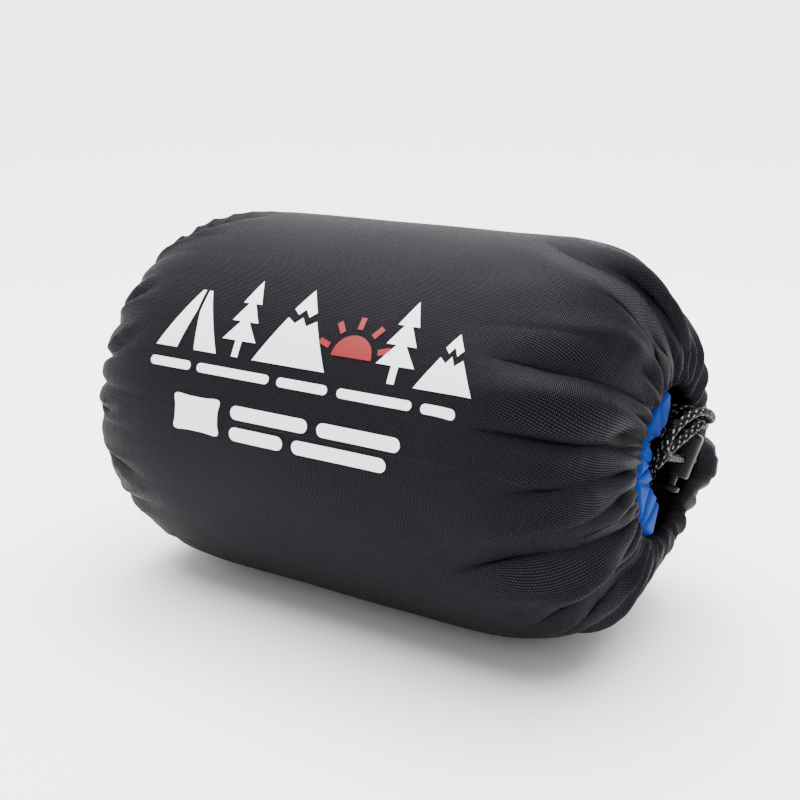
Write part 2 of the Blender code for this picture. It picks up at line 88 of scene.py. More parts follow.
# Folds of the drawn mouth: angle at the rim, halfway and at the tip (degrees, 0 at the printed
# side, upwards), then reach, depth and half width (millimetres), and how far one edge laps over.
MOUTH_FOLDS = [
    (52, 41, 37.5, 82, 7.0, 12, 1.0), (25, 22.5, 16, 86, 6.4, 12, 1.0),
    (12.5, 9.5, 1, 66, 6.2, 10, 1.0), (17, 13, 3, 100, 2.6, 12, 0.0), (1, -1, -9, 56, 6.0, 10, 1.0),
    (-22, -15, -25, 88, 6.4, 12, -1.0), (-39, -36, -49, 64, 6.0, 9, -0.9),
    (-50, -44, -55, 50, 5.0, 8, -0.9), (-61, -57, -72, 58, 5.4, 8, -0.9),
    (-73, -76, -88, 66, 5.0, 9, 0.8), (60, 50, 45, 96, 3.0, 16, 0.0), (71, 67, 63, 54, 4.4, 9, 0.7),
    (90, 78, 91, 86, 8.6, 13, -1.0), (100, 88, 83, 60, 4.6, 8, -0.9),
    (112, 98, 94, 76, 5.6, 10, 0.9), (123, 112, 108, 64, 4.4, 9, 0.8),
    (136, 130, 126, 90, 6.0, 12, -1.0), (149, 150, 150, 60, 4.4, 10, 0.8),
    (163, 166, 170, 82, 5.6, 12, 1.0), (178, 183, 188, 64, 4.4, 10, -0.8),
    (196, 200, 207, 88, 6.0, 12, 1.0), (212, 219, 224, 58, 4.4, 9, 0.8),
    (228, 236, 240, 84, 5.6, 12, -1.0), (243, 250, 252, 62, 4.4, 9, 0.8),
    (258, 264, 262, 70, 4.4, 10, 0.8), (41, 37, 35, 32, 3.4, 6, 0.7),
    (33, 30, 29, 28, 3.0, 6, -0.7), (-10, -8, -9, 36, 3.4, 7, -0.7),
    (-30, -28, -30, 32, 3.2, 6, -0.7), (81, 73, 71, 36, 3.4, 7, 0.7), (5, 5, 7, 30, 2.6, 6, 0.5),
    (64, 59, 57, 26, 2.6, 6, -0.6), (-44, -41, -42, 26, 2.6, 5, 0.6),
]
# Long folds that start at the base seam, in the same terms
BASE_FOLDS = [
    (64, 75, 92, 50, 5.0, 9, 0.9), (38, 43, 46, 30, 2.8, 7, 0.5), (20, 25, 31, 34, 2.4, 7, 0.0),
    (5, 3, 8, 24, 2.8, 6, 0.5), (-12, -15, -16, 34, 2.6, 7, -0.5), (-33, -30, -24, 42, 3.0, 8, 0.5),
    (-55, -54, -46, 36, 2.8, 7, 0.6), (96, 100, 112, 40, 3.4, 8, 0.8),
    (124, 120, 112, 34, 2.8, 8, 0.0), (150, 154, 160, 44, 3.2, 9, 0.8),
    (182, 180, 174, 36, 2.8, 8, 0.0), (208, 212, 220, 44, 3.2, 9, 0.8),
    (238, 234, 228, 34, 2.8, 8, 0.0), (262, 264, 268, 30, 2.6, 7, 0.0),
]
# Sagging cloth: angle and spread (degrees), depth, distance from the rim or seam and reach (mm)
MOUTH_SLACK = [
    (132, 31, 11.0, 37, 20), (168, 22, 7.5, 17, 14), (-122, 31, 12.5, 25, 19),
    (-82, 36, 6.5, 42, 28),
]
BASE_SLACK = [(68, 34, 2.4, 0, 22)]
DEEPEST_FOLD = 0.0105
RIM_GATHER_DEPTH = 0.0024
FINE_GATHER_DEPTH = 0.0005
SEAM_GATHER_DEPTH = 0.0042
SEAM_TUCK_DEPTH = 0.0022

# Pillow's face in the mouth, as laid out in the frame's solids
POCKET_AT = (0.014, -0.0035)
POCKET_DEPTH = 0.0115
POCKET_FLOOR_RADIUS = 0.0205
POCKET_EDGE_RADIUS = 0.030
FACE_INSET = 2 * BEAD_RADIUS + 0.0003
BULGE_HEIGHT = 0.0058
# Radius of the pillow's bulging edge in the near half of the mouth, by angle
CREST = [
    (-84, 26), (-70, 21), (-60, 14.6), (-22, 14.8), (5, 16.8), (27, 18.8), (36, 21.5), (50, 17),
    (72, 16), (92, 24),
]
# Small sharp creases across the part of the shell that shows: angle, lean, half width, depth (mm)
BLUE_CREASES = [
    (62, 0.5, 2.4, 0.9), (44, -0.8, 2.0, 1.3), (33, 0.6, 2.6, 1.6), (18, 0.9, 1.8, 1.3),
    (8, -0.6, 2.0, 1.4), (-6, 1.2, 2.4, 1.2), (-26, -1.6, 3.4, 1.5), (-48, 1.0, 2.4, 1.2),
]

# Drawcord: sizes and route repeat the frame's, in metres from the middle of the mouth
CORD_DIAMETER = 0.003
BRAID_STRANDS = 8
BRAID_PITCH = 0.0075
STRAND_PITCH = 0.0032
CHANNEL_X = -BEAD_RADIUS
SLIT_ANGLE = math.radians(-14.0)
SLIT_LENGTH = 0.018
RING_START_CLEARANCE = math.radians(1.5)
RING_STEPS = 28
LOCK_AT = Vector((0.0, 0.007, 0.0))
LOCK_UP = Vector((0.20, 0.35, 0.915)).normalized()
CORD_WAY = (Vector((0.0, -1.0, 0.0)) + LOCK_UP * LOCK_UP.y).normalized()
LOCK_OUT = LOCK_UP.cross(CORD_WAY)
OUTER_FROM_CHANNEL = [(-0.0034, 0.0298, -0.0017), (-0.0024, 0.0266, -0.0041), (-0.0004, 0.0229, -0.0052)]
INNER_FROM_CHANNEL = [(-0.0036, 0.0281, -0.0119), (-0.0042, 0.0254, -0.0085), (-0.0034, 0.0222, -0.0059)]
OUTER_OVER_LOCK = [
    (0.0024, -0.0060, 0.0043), (0.0026, -0.0120, 0.0067), (0.0030, -0.0162, 0.0107),
    (0.0045, -0.0150, 0.0159), (0.0064, -0.0106, 0.0193), (0.0082, -0.0055, 0.0210),
    (0.0096, 0.0001, 0.0206), (0.0102, 0.0055, 0.0185), (0.0094, 0.0105, 0.0155),
    (0.0070, 0.0148, 0.0133), (0.0030, 0.0178, 0.0137), (-0.0016, 0.0186, 0.0147),
]
INNER_OVER_LOCK = [
    (-0.0016, -0.0060, 0.0029), (-0.0012, -0.0115, 0.0027), (0.0006, -0.0150, 0.0047),
    (0.0026, -0.0142, 0.0079), (0.0042, -0.0095, 0.0103), (0.0058, -0.0030, 0.0123),
    (0.0072, 0.0028, 0.0141), (0.0075, 0.0080, 0.0136), (0.0060, 0.0130, 0.0113),
    (0.0024, 0.0166, 0.0107), (-0.0020, 0.0192, 0.0111),
]
OUTER_COIL = (0.0186, 0.0109, math.radians(78), math.radians(-236))
INNER_COIL = (0.0152, 0.0074, math.radians(66), math.radians(-242))
COIL_TOP = -0.0078
COIL_BOTTOM = -0.0162
COIL_DROP = 0.3
COIL_RISE = 0.75
COIL_END = -0.0133
COIL_POINTS = 14
STRAIGHT_STRETCH = (-0.012, -0.006, 0.0, 0.006, 0.0075)


# Outline of the sack, from the middle of its base to the rim of its mouth

def dome(side, angle):
    flat, depth = (RING_RADIUS, MOUTH_ROUNDING) if side > 0 else (BASE_FLAT_RADIUS, BASE_ROUNDING)
    end = MOUTH_X if side > 0 else BASE_X
    power = 2 / CORNER_POWER
    along = depth * (1 - max(math.cos(angle), 0.0) ** power)
    return end - side * along, flat + (SACK_RADIUS - flat) * max(math.sin(angle), 0.0) ** power


def outline_points():
    quarter = math.pi / 2
    steps = 240
    points = [(BASE_X - BASE_CROWN * (1 - (i / 24) ** 2), BASE_FLAT_RADIUS * i / 24) for i in range(24)]
    points += [dome(-1, quarter * i / steps) for i in range(steps + 1)]
    points += [dome(1, quarter * (1 - i / steps)) for i in range(steps + 1)]
    return np.array(points)


def running_length(points):
    return np.concatenate([[0.0], np.cumsum(np.linalg.norm(np.diff(points, axis=0), axis=1))])


OUTLINE = outline_points()
ALONG = running_length(OUTLINE)
TANGENT = np.gradient(OUTLINE, ALONG + np.arange(len(ALONG)) * 1e-9, axis=0)
TANGENT /= np.linalg.norm(TANGENT, axis=1)[:, None]
SIDE_ONLY = OUTLINE[:, 0] < 0
SEAM_AT = float(np.interp(BASE_SEAM_RADIUS, OUTLINE[SIDE_ONLY, 1], ALONG[SIDE_ONLY]))
RIM_AT = float(ALONG[-1])


def ease(share):
    share = np.clip(share, 0.0, 1.0)
    return share * share * (3 - 2 * share)


def wrap(angle):
    return (angle + np.pi) % (2 * np.pi) - np.pi


def gathers(angle, count, phase):
    """Narrow valleys at uneven steps round the sack: 1 in a valley, 0 on the puffs between."""
    uneven = count * angle / 2 + 1.1 * np.sin(3 * angle + phase) + 0.8 * np.sin(7 * angle + 2 * phase)
    depth = 0.72 + 0.28 * np.sin(5 * angle + 3 * phase)
    return depth * (1 - np.abs(np.sin(uneven))) ** 1.5


def rim_gathers(angle):
    return gathers(angle, 35, 1.3)


def fine_gathers(angle):
    return gathers(angle, 62, 4.1)


def ripples(angle, along, seed, count, shortest, longest):
    """Soft waves that run across the cloth in a few directions, from -1 to 1."""
    draw = random.Random(seed)
    total = np.zeros_like(along)
    for _ in range(count):
        length = draw.uniform(shortest, longest)
        way = draw.uniform(-1.0, 1.0)
        turns = max(1, round(2 * math.pi * SACK_RADIUS * math.cos(way) / length))
        along_rate = 2 * math.pi * math.sin(way) / length
        bend = draw.uniform(0.5, 1.5) * np.sin(along * draw.uniform(15, 40) + draw.uniform(0, 6))
        total += np.sin(turns * angle + along_rate * along + bend + draw.uniform(0, 6.28))
    return total / count


def fold_shift(angle, distance, radius, folds):
    """How far each fold draws the cloth in, and how far its edge laps over the valley."""
    inward = np.zeros_like(distance)
    sideways = np.zeros_like(distance)
    for start, middle, tip, reach, depth, half_width, lap in folds:
        share = np.clip(distance * 1000 / reach, 0, 1)
        path = (
            start * (1 - share) * (1 - 2 * share) + middle * 4 * share * (1 - share)
            + tip * share * (2 * share - 1))
        offset = wrap(angle - np.radians(path)) * radius
        width = half_width / 1000 * (0.34 + 0.66 * ease(distance / 0.038))
        strength = (1 - ease((share - 0.42) / 0.58)) * (0.22 + 0.78 * ease(distance / 0.014))
        near = np.clip(1 - np.abs(offset) / width, 0, 1)
        shoulder = np.exp(-(np.abs(offset) / width - 1.15) ** 2 / 0.16)
        inward += depth / 1000 * strength * (near ** 1.8 - 0.26 * shoulder)
        if lap:
            over = 6.75 * (1 - near) * near ** 2 * (offset * lap > 0)
            sideways -= 0.56 * lap * width * strength * over
    return inward, sideways


def cloth(angle, along, inset=0.0):
    """Points of the stuffed sack's surface, inset metres inside it."""
    x = np.interp(along, ALONG, OUTLINE[:, 0])
    radius = np.interp(along, ALONG, OUTLINE[:, 1])
    run_x = np.interp(along, ALONG, TANGENT[:, 0])
    run_r = np.interp(along, ALONG, TANGENT[:, 1])
    to_rim = np.maximum(RIM_AT - along, 0)
    from_seam = along - SEAM_AT
    mouth_in, mouth_side = fold_shift(angle, to_rim, radius, MOUTH_FOLDS)
    base_in, base_side = fold_shift(angle, np.abs(from_seam), radius, BASE_FOLDS)
    on_side = ease(from_seam / 0.004 + 0.5)
    folds = mouth_in + base_in * (0.35 + 0.65 * on_side)
    inward = DEEPEST_FOLD * np.tanh(1.12 * folds / DEEPEST_FOLD)
    inward += RIM_GATHER_DEPTH * rim_gathers(angle) * np.exp(-to_rim / 0.011)
    inward += FINE_GATHER_DEPTH * fine_gathers(angle) * np.exp(-to_rim / 0.005)
    inward += slack(angle, to_rim, MOUTH_SLACK) * ease(to_rim / 0.016)
    inward += slack(angle, from_seam, BASE_SLACK)
    inward += (SEAM_GATHER_DEPTH * gathers(angle, 33, 2.2) - 0.0008) * np.exp(-np.abs(from_seam) / 0.013)
    inward += SEAM_TUCK_DEPTH * np.exp(-np.abs(from_seam) / 0.0014)
    inward += 0.0004 * np.exp(-((to_rim - settings("sack").hem_width) / 0.0011) ** 2)
    calm = ease(to_rim / 0.03)
    inward += 0.00042 * ripples(angle, along, 3, 5, 0.045, 0.09) * calm
    gathered = np.exp(-to_rim / 0.045) * calm
    inward += 0.0007 * ripples(angle, along, 8, 6, 0.012, 0.024) * gathered
    inward += 0.00035 * ripples(angle, along, 5, 6, 0.010, 0.020) * np.exp(-np.abs(from_seam) / 0.016)
    inward = np.minimum(inward, RIM_COVER + 1.3 * np.maximum(to_rim - CORD_DIAMETER / 2, 0.0))
    inward *= ease(along / 0.05)
    proud = bunch(angle, to_rim)
    angle = angle + (mouth_side + base_side * on_side) / np.maximum(radius, 0.02)
    inward = inward * (1 - 0.8 * proud) + inset
    x = x + inward * run_r + BUNCH_HEIGHT * proud
    radius = np.maximum(radius - inward * run_x - BUNCH_REACH * proud, 0.0)
    y = -radius * np.cos(angle)
    z = AXIS_HEIGHT + radius * np.sin(angle)
    return np.stack([x, y, np.maximum(z, FLOOR_CLEARANCE + inset)], axis=1)


def slack(angle, distance, entries):
    """Cloth that sags over the softer parts of the filling."""
    total = np.zeros_like(distance)
    for at, spread, depth, centre, reach in entries:
        share = np.exp(-((distance * 1000 - centre) / reach) ** 2)
        aside = wrap(angle - math.radians(at)) / math.radians(spread)
        total += depth / 1000 * share * np.exp(-aside ** 2)
    return total


def bunch(angle, to_rim):
    """The hem stands up where both strands leave it."""
    side = np.abs(wrap(angle - math.radians(197))) / math.radians(27)
    return (1 - ease(side) ** 1.5) * (1 - ease(to_rim / 0.022))


# Meshes

def finish_bmesh(bm, name):
    mesh = bpy.data.meshes.new(name)
    bm.to_mesh(mesh)
    bm.free()
    return mesh


def add_piece(name, bm, material, node=None, wall=0.0):
    """A piece that rides on the sack and, where a node is named, stands for it."""
    mesh = finish_bmesh(bm, name)
    mesh.materials.append(material)
    for face in mesh.polygons:
        face.use_smooth = True
    piece = bpy.data.objects.new(name, mesh)
    bpy.context.scene.collection.objects.link(piece)
    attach(piece, "sack")
    if wall:
        solid = piece.modifiers.new("wall", "SOLIDIFY")
        solid.thickness = wall
        solid.offset = -1.0
        solid.use_even_offset = False
    if node:
        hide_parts(node)
    return piece


def wrapped_grid(columns, rows, place, flat, cap=False):
    """A grid whose two long sides meet; place gives each vertex's point, flat its cloth place."""
    bm = bmesh.new()
    bm.loops.layers.uv.new("UVMap")
    bmesh.ops.create_grid(bm, x_segments=columns, y_segments=rows, size=0.5, calc_uvs=True)
    mesh = finish_bmesh(bm, "grid")
    spots = np.empty(len(mesh.vertices) * 3, np.float32)
    mesh.vertices.foreach_get("co", spots)
    spots = spots.reshape(-1, 3).astype(float) + 0.5
    mesh.vertices.foreach_set("co", place(spots[:, 0], spots[:, 1]).astype(np.float32).ravel())
    layer = mesh.uv_layers["UVMap"].data
    uv = np.empty(len(layer) * 2, np.float32)
    layer.foreach_get("uv", uv)
    uv = uv.reshape(-1, 2).astype(float)
    layer.foreach_set("uv", flat(uv[:, 0], uv[:, 1]).astype(np.float32).ravel())
    bm = bmesh.new()
    bm.from_mesh(mesh)
    bpy.data.meshes.remove(mesh)
    bmesh.ops.remove_doubles(bm, verts=bm.verts[:], dist=2e-6)
    bmesh.ops.dissolve_degenerate(bm, dist=1e-7, edges=bm.edges[:])
    if cap:
        bmesh.ops.holes_fill(bm, edges=[edge for edge in bm.edges if edge.is_boundary], sides=0)
    bmesh.ops.recalc_face_normals(bm, faces=bm.faces[:])
    return bm


def turn_outwards(bm):
    """Open cloth faces away from the middle of the sack."""
    centre = Vector((0, 0, AXIS_HEIGHT))
    total = 0.0
    for face in bm.faces:
        total += face.normal.dot(face.calc_center_median() - centre) * face.calc_area()
    if total < 0:
        bmesh.ops.reverse_faces(bm, faces=bm.faces[:])


def on_disc(share_round, reach):
    """Place on a flat disc, for a round panel's weave."""
    turn = 2 * np.pi * share_round
    return np.stack([reach * np.cos(turn), reach * np.sin(turn)], axis=1)


def crowd(share, angle_at, strength):
    """Angles round the sack that lie closer together about one direction."""
    turn = 2 * np.pi * share
    return turn - strength * np.sin(turn - angle_at)


# Materials

CLOTH_WEAVE = 0.00056
TAPE_WEAVE = 0.0011


def shade(colour, scale, lift=0.0):
    return tuple(scale * part + lift for part in colour)


class Nodes:
    """Short way to add and link shader nodes."""

    def __init__(self, name, colour, roughness, **inputs):
        self.material = bpy.data.materials.new(name)
        self.material.use_nodes = True
        self.tree = self.material.node_tree
        self.shader = self.tree.nodes["Principled BSDF"]
        self.shader.inputs["Base Color"].default_value = (*colour, 1.0)
        self.shader.inputs["Roughness"].default_value = roughness
        for key, value in inputs.items():
            self.shader.inputs[key.replace("_", " ")].default_value = value

    def add(self, kind, **settings):
        node = self.tree.nodes.new(kind)
        for key, value in settings.items():
            setattr(node, key, value)
        return node

    def link(self, source, target):
        self.tree.links.new(source, target)

    def feed(self, slots, values):
        """Give each socket its number or colour, or link it to another node's output."""
        for slot, value in zip(slots, values):
            if isinstance(value, bpy.types.NodeSocket):
                self.link(value, slot)
            elif value is not None:
                slot.default_value = (*value, 1.0) if isinstance(value, tuple) else value

    def maths(self, operation, first, second=None):
        node = self.add("ShaderNodeMath", operation=operation)
        self.feed(node.inputs, (first, second))
        return node.outputs[0]

    def blend(self, share, first, second):
        """Mix two numbers."""
        node = self.add("ShaderNodeMix", data_type="FLOAT")
        self.feed((node.inputs[0], node.inputs[2], node.inputs[3]), (share, first, second))
        return node.outputs[0]

    def tint(self, share, first, second, target="Base Color"):
        """Mix two colours into the shader."""
        node = self.add("ShaderNodeMix", data_type="RGBA")
        self.feed((node.inputs[0], node.inputs[6], node.inputs[7]), (share, first, second))
        if target:
            self.link(node.outputs[2], self.shader.inputs[target])
        return node.outputs[2]

    def noise(self, coordinates, scale, detail=3.0, roughness=0.5):
        node = self.add("ShaderNodeTexNoise")
        node.inputs["Scale"].default_value = scale
        node.inputs["Detail"].default_value = detail
        node.inputs["Roughness"].default_value = roughness
        self.link(coordinates, node.inputs["Vector"])
        return node.outputs["Fac"]

    def bump(self, height, distance, strength=1.0, after=None):
        node = self.add("ShaderNodeBump")
        node.inputs["Distance"].default_value = distance
        node.inputs["Strength"].default_value = strength
        self.link(height, node.inputs["Height"])
        if after is not None:
            self.link(after, node.inputs["Normal"])
        return node.outputs["Normal"]

    def object_place(self):
        return self.add("ShaderNodeTexCoord").outputs["Object"]

    def cloth_place(self):
        node = self.add("ShaderNodeUVMap", uv_map="UVMap")
        split = self.add("ShaderNodeSeparateXYZ")
        self.link(node.outputs["UV"], split.inputs[0])
        return node.outputs["UV"], split.outputs[0], split.outputs[1]


def add_weave(nodes, across, along, pitch):
    """Plain weave: height of the upper yarn, and which of the two yarns is on top."""
    turn = math.pi / pitch
    weft = nodes.maths("SINE", nodes.maths("MULTIPLY", across, turn))
    warp = nodes.maths("SINE", nodes.maths("MULTIPLY", along, turn))
    over = nodes.maths("GREATER_THAN", nodes.maths("MULTIPLY", weft, warp), 0.0)
    crown_weft = nodes.maths("ABSOLUTE", weft)
    crown_warp = nodes.maths("ABSOLUTE", warp)
    height = nodes.maths("POWER", nodes.maths("MULTIPLY", crown_weft, crown_warp), 0.5)
    return height, over


def sack_cloth(name, colour):
    nodes = Nodes(name, colour, 0.5, IOR=1.22, Specular_Tint=(0.94, 0.90, 1.0, 1.0))
    place, across, along = nodes.cloth_place()
    height, over = add_weave(nodes, across, along, CLOTH_WEAVE)
    patches = nodes.noise(nodes.object_place(), 26.0, 4.0, 0.6)
    slub = nodes.noise(place, 900.0, 2.0)
    # Weave colour: the gaps and the yarn underneath are painted darker as shade, the crowns lighter as
    # painted highlight; slub varies this at random.
    yarn = nodes.blend(over, 0.55, 1.0)
    light = nodes.maths("MULTIPLY", nodes.maths("POWER", height, 2.2), yarn)
    light = nodes.maths("MULTIPLY", light, nodes.blend(slub, 0.7, 1.3))
    painted_weave_light = nodes.tint(light, shade(colour, 0.25), shade(colour, 4.2), target=None)
    share = nodes.maths("MULTIPLY", nodes.maths("SUBTRACT", patches, 0.42), 0.5)
    nodes.tint(share, painted_weave_light, shade(colour, 1.25, 0.002))
    nodes.link(nodes.blend(light, 0.60, 0.36), nodes.shader.inputs["Roughness"])
    nodes.link(nodes.blend(light, 0.0, 0.95), nodes.shader.inputs["Specular IOR Level"])
    crumple = nodes.bump(nodes.noise(nodes.object_place(), 160.0, 3.0), 0.0004, 0.35)
    nodes.link(nodes.bump(height, 0.00020, 1.0, crumple), nodes.shader.inputs["Normal"])
    return nodes.material


def pillow_cloth(colour):
    nodes = Nodes("blue_brushed_cloth", colour, 0.55, IOR=1.15, Specular_IOR_Level=0.25)
    coordinates = nodes.object_place()
    fibres = nodes.noise(coordinates, 2600.0, 2.0)
    patches = nodes.noise(coordinates, 70.0, 3.0)
    bright = tuple(min(1.0, part) for part in shade(colour, 1.22))
    nodes.tint(nodes.blend(patches, fibres, 0.5), shade(colour, 0.80), bright)
    soft = nodes.bump(patches, 0.0006, 0.5)
    nodes.link(nodes.bump(fibres, 0.00005, 0.5, soft), nodes.shader.inputs["Normal"])
    return nodes.material


def filling_fibre():
    nodes = Nodes("white_filling_fibre", (0.8, 0.8, 0.78), 0.9)
    strands = nodes.noise(nodes.object_place(), 400.0, 6.0, 0.7)
    nodes.tint(strands, (0.62, 0.62, 0.60), (0.86, 0.86, 0.84))
    nodes.link(nodes.bump(strands, 0.0008), nodes.shader.inputs["Normal"])
    return nodes.material


def seam_tape():
    nodes = Nodes("ribbed_seam_tape", (0.006, 0.006, 0.007), 0.75, IOR=1.3)
    across, along = nodes.cloth_place()[1:]
    height = add_weave(nodes, across, along, TAPE_WEAVE)[0]
    # Rib crowns painted lighter and the gaps between them darker: painted highlight and shade.
    nodes.tint(height, (0.003, 0.003, 0.0035), (0.012, 0.012, 0.013))
    nodes.link(nodes.bump(height, 0.0002), nodes.shader.inputs["Normal"])
    return nodes.material


def braid(name, dark, glint_colour):
    """Braided cord: the pattern follows the cord, whose map runs round and along it in metres."""
    nodes = Nodes(name, dark, 0.45, IOR=1.2, Specular_IOR_Level=0.2)
    place, across, along = nodes.cloth_place()
    turn = nodes.maths("MULTIPLY", across, BRAID_STRANDS / CORD_DIAMETER)
    slant = nodes.maths("MULTIPLY", along, math.pi * BRAID_STRANDS / 2 / BRAID_PITCH)
    one = nodes.maths("SINE", nodes.maths("ADD", turn, slant))
    other = nodes.maths("SINE", nodes.maths("SUBTRACT", turn, slant))
    # Light dashes on the raised strand that lies on top: painted glints of light, broken up at random.
    on_top = nodes.maths("GREATER_THAN", other, -0.2)
    glint_patches = nodes.maths("GREATER_THAN", nodes.noise(place, 700.0, 1.0), 0.46)
    raised = nodes.maths("GREATER_THAN", one, 0.62)
    glint_mask = nodes.maths("MULTIPLY", raised, nodes.maths("MULTIPLY", on_top, glint_patches))
    fibre = nodes.noise(place, 6000.0, 2.0)
    nodes.tint(nodes.maths("MULTIPLY", glint_mask, fibre), dark, glint_colour)
    nodes.link(nodes.bump(fibre, 0.00006), nodes.shader.inputs["Normal"])
    return nodes.material


def gloss_plastic():
    nodes = Nodes("gloss_black_moulding", (0.002, 0.002, 0.0023), 0.3, IOR=1.2, Specular_IOR_Level=0.3)
    coordinates = nodes.object_place()
    scuffs = nodes.noise(coordinates, 500.0, 5.0, 0.65)
    nodes.link(nodes.blend(scuffs, 0.20, 0.40), nodes.shader.inputs["Roughness"])
    nodes.tint(scuffs, (0.0012, 0.0012, 0.0014), (0.003, 0.003, 0.0034))
    normal = nodes.bump(nodes.noise(coordinates, 220.0, 2.0), 0.0001, 0.25)
    nodes.link(normal, nodes.shader.inputs["Normal"])
    return nodes.material


def spring_steel():
    nodes = Nodes("bright_spring_wire", (0.55, 0.55, 0.56), 0.28, Metallic=1.0)
    drawn = nodes.noise(nodes.object_place(), 900.0, 2.0)
    nodes.link(nodes.blend(drawn, 0.20, 0.38), nodes.shader.inputs["Roughness"])
    nodes.tint(drawn, (0.48, 0.48, 0.49), (0.62, 0.62, 0.63))
    return nodes.material


def printed_film(name, colour):
    """Rubbery print with a fine grain and patchy wear."""
    nodes = Nodes(name, colour, 0.45)
    coordinates = nodes.object_place()
    grain = nodes.noise(coordinates, 1500.0, 2.0)
    wear = nodes.noise(coordinates, 90.0, 4.0)
    dull = tuple(0.86 * part for part in colour)
    nodes.tint(nodes.blend(grain, wear, 0.5), dull, colour)
    nodes.link(nodes.bump(grain, 0.00006, 0.6), nodes.shader.inputs["Normal"])
    return nodes.material


def thread():
    nodes = Nodes("black_sewing_thread", (0.002, 0.002, 0.0025), 0.7, IOR=1.2, Specular_IOR_Level=0.1)
    twist = nodes.noise(nodes.object_place(), 4000.0, 2.0)
    nodes.tint(twist, (0.0008, 0.0008, 0.001), (0.004, 0.004, 0.0045))
    return nodes.material


# Settings that a user would change

class SackSettings(bpy.types.PropertyGroup):
    hem_width: FloatProperty(
        name="Hem width", description="Distance from the rim to the hem's stitching",
        default=0.029, min=0.01, max=0.05, unit="LENGTH")
    cloth_thickness: FloatProperty(
        name="Cloth", description="Thickness of the sack's cloth", default=0.0005, unit="LENGTH")
    stitch_length: FloatProperty(
        name="Stitch", description="Length of one stitch of the hem", default=0.0024, unit="LENGTH")
    colour: FloatVectorProperty(
        name="Cloth colour", description="Colour of the sack's weave", subtype="COLOR",
        size=3, default=(0.0028, 0.0024, 0.0037), min=0.0, max=1.0)
    print_colour: FloatVectorProperty(
        name="Print colour", description="Colour of the print on the side", subtype="COLOR",
        size=3, default=(0.86, 0.87, 0.90), min=0.0, max=1.0)
    sun_colour: FloatVectorProperty(
        name="Sun colour", description="Colour of the sun in the print", subtype="COLOR",
        size=3, default=(0.20, 0.005, 0.004), min=0.0, max=1.0)


class PillowSettings(bpy.types.PropertyGroup):
    shell_thickness: FloatProperty(
        name="Shell", description="Thickness of the pillow's shell", default=0.0006, unit="LENGTH")
    colour: FloatVectorProperty(
        name="Shell colour", description="Colour of the pillow's shell", subtype="COLOR",
        size=3, default=(0.0022, 0.023, 0.160), min=0.0, max=1.0)


class CordSettings(bpy.types.PropertyGroup):
    sides: IntProperty(
        name="Sides", description="Sides of the cord's tube", default=28, min=12, max=64)
    step: FloatProperty(
        name="Step", description="Distance between rings of the tube", default=0.00042, unit="LENGTH")
    relief: FloatProperty(
        name="Relief", description="Height of the braid's strands", default=0.00011, unit="LENGTH")


class StageSettings(bpy.types.PropertyGroup):
    lens: FloatProperty(
        name="Lens", description="Focal length on a 36 mm sensor, in millimetres", default=55.17)
    key_power: FloatProperty(
        name="Top light", description="Power of the softbox above", default=10.0, unit="POWER")
    overhead_strength: FloatProperty(
        name="Overhead light", description="Strength of the broad light overhead", default=9.6, min=0.0)
    world_strength: FloatProperty(
        name="Room light", description="Strength of the even light all round", default=1.15, min=0.0)
    floor_tone: FloatProperty(
        name="Floor tone", description="Lightness of the floor", default=0.92, min=0.0, max=1.0)


SETTINGS = {
    "sack": SackSettings, "packed_pillow": PillowSettings, "drawcord": CordSettings,
    "studio": StageSettings,
}


def settings(group):
    return getattr(bpy.context.scene, "camp_pillow_" + group)


# Sack

SIDE_COLUMNS = 440
END_COLUMNS = 224
TAPE_HALF_WIDTH = 0.0045
TAPE_HALF_THICKNESS = 0.0005
TAPE_INSET = 0.0016
THREAD_HALF_WIDTH = 0.00019
THREAD_HALF_HEIGHT = 0.00015
CLOTH_WIDTH = 2 * math.pi * SACK_RADIUS


def side_rows():
    """Places of the side panel's rows: along the outline, round the corded edge, back up the hem."""
    hem = settings("sack").hem_width
    spans = [
        (SEAM_AT, SEAM_AT + 0.012, 10), (SEAM_AT + 0.012, RIM_AT - 0.088, 26),
        (RIM_AT - 0.088, RIM_AT - 0.020, 34), (RIM_AT - 0.020, RIM_AT - 0.3 * BEAD_RADIUS, 15)]
    along = np.concatenate([np.linspace(low, high, count, endpoint=False) for low, high, count in spans])
    bead_turn = np.radians(np.linspace(90, 345, 14))
    back = np.linspace(RIM_AT - 1.6 * BEAD_RADIUS, RIM_AT - hem, 6)
    return along, bead_turn, back


def side_points(share_round, share_along):
    """Points of the side panel for places on its grid."""
    along, bead_turn, back = side_rows()
    total = len(along) + len(bead_turn) + len(back)
    row = np.rint(share_along * (total - 1)).astype(int)
    angle = crowd(share_round, math.radians(30), 0.3)
    points = np.zeros((len(row), 3))
    outer = row < len(along)
    points[outer] = cloth(angle[outer], along[row[outer]])
    bead = (row >= len(along)) & (row < len(along) + len(bead_turn))
    turn = bead_turn[row[bead] - len(along)]
    around = angle[bead]
    proud = bunch(around, 0.0)
    gathered = 0.0008 * rim_gathers(around) + 0.0004 * fine_gathers(around)
    puff = BEAD_RADIUS - gathered * (1 - proud)
    puff *= 1 + 0.12 * np.sin(turn * 2 + 9 * around) * (1 - proud) + 0.5 * proud
    root = cloth(around, np.full(len(turn), RIM_AT))
    shift = np.clip(root[:, 0] - MOUTH_X, -0.0012, 1.0)
    radius = RING_RADIUS - BUNCH_REACH * proud + puff * np.cos(turn)
    points[bead, 0] = MOUTH_X + CHANNEL_X + puff * np.sin(turn) + shift
    points[bead, 1] = -radius * np.cos(around)
    points[bead, 2] = AXIS_HEIGHT + radius * np.sin(around)
    inner = row >= len(along) + len(bead_turn)
    points[inner] = cloth(angle[inner], back[row[inner] - len(along) - len(bead_turn)], 2 * PLY)
    return points


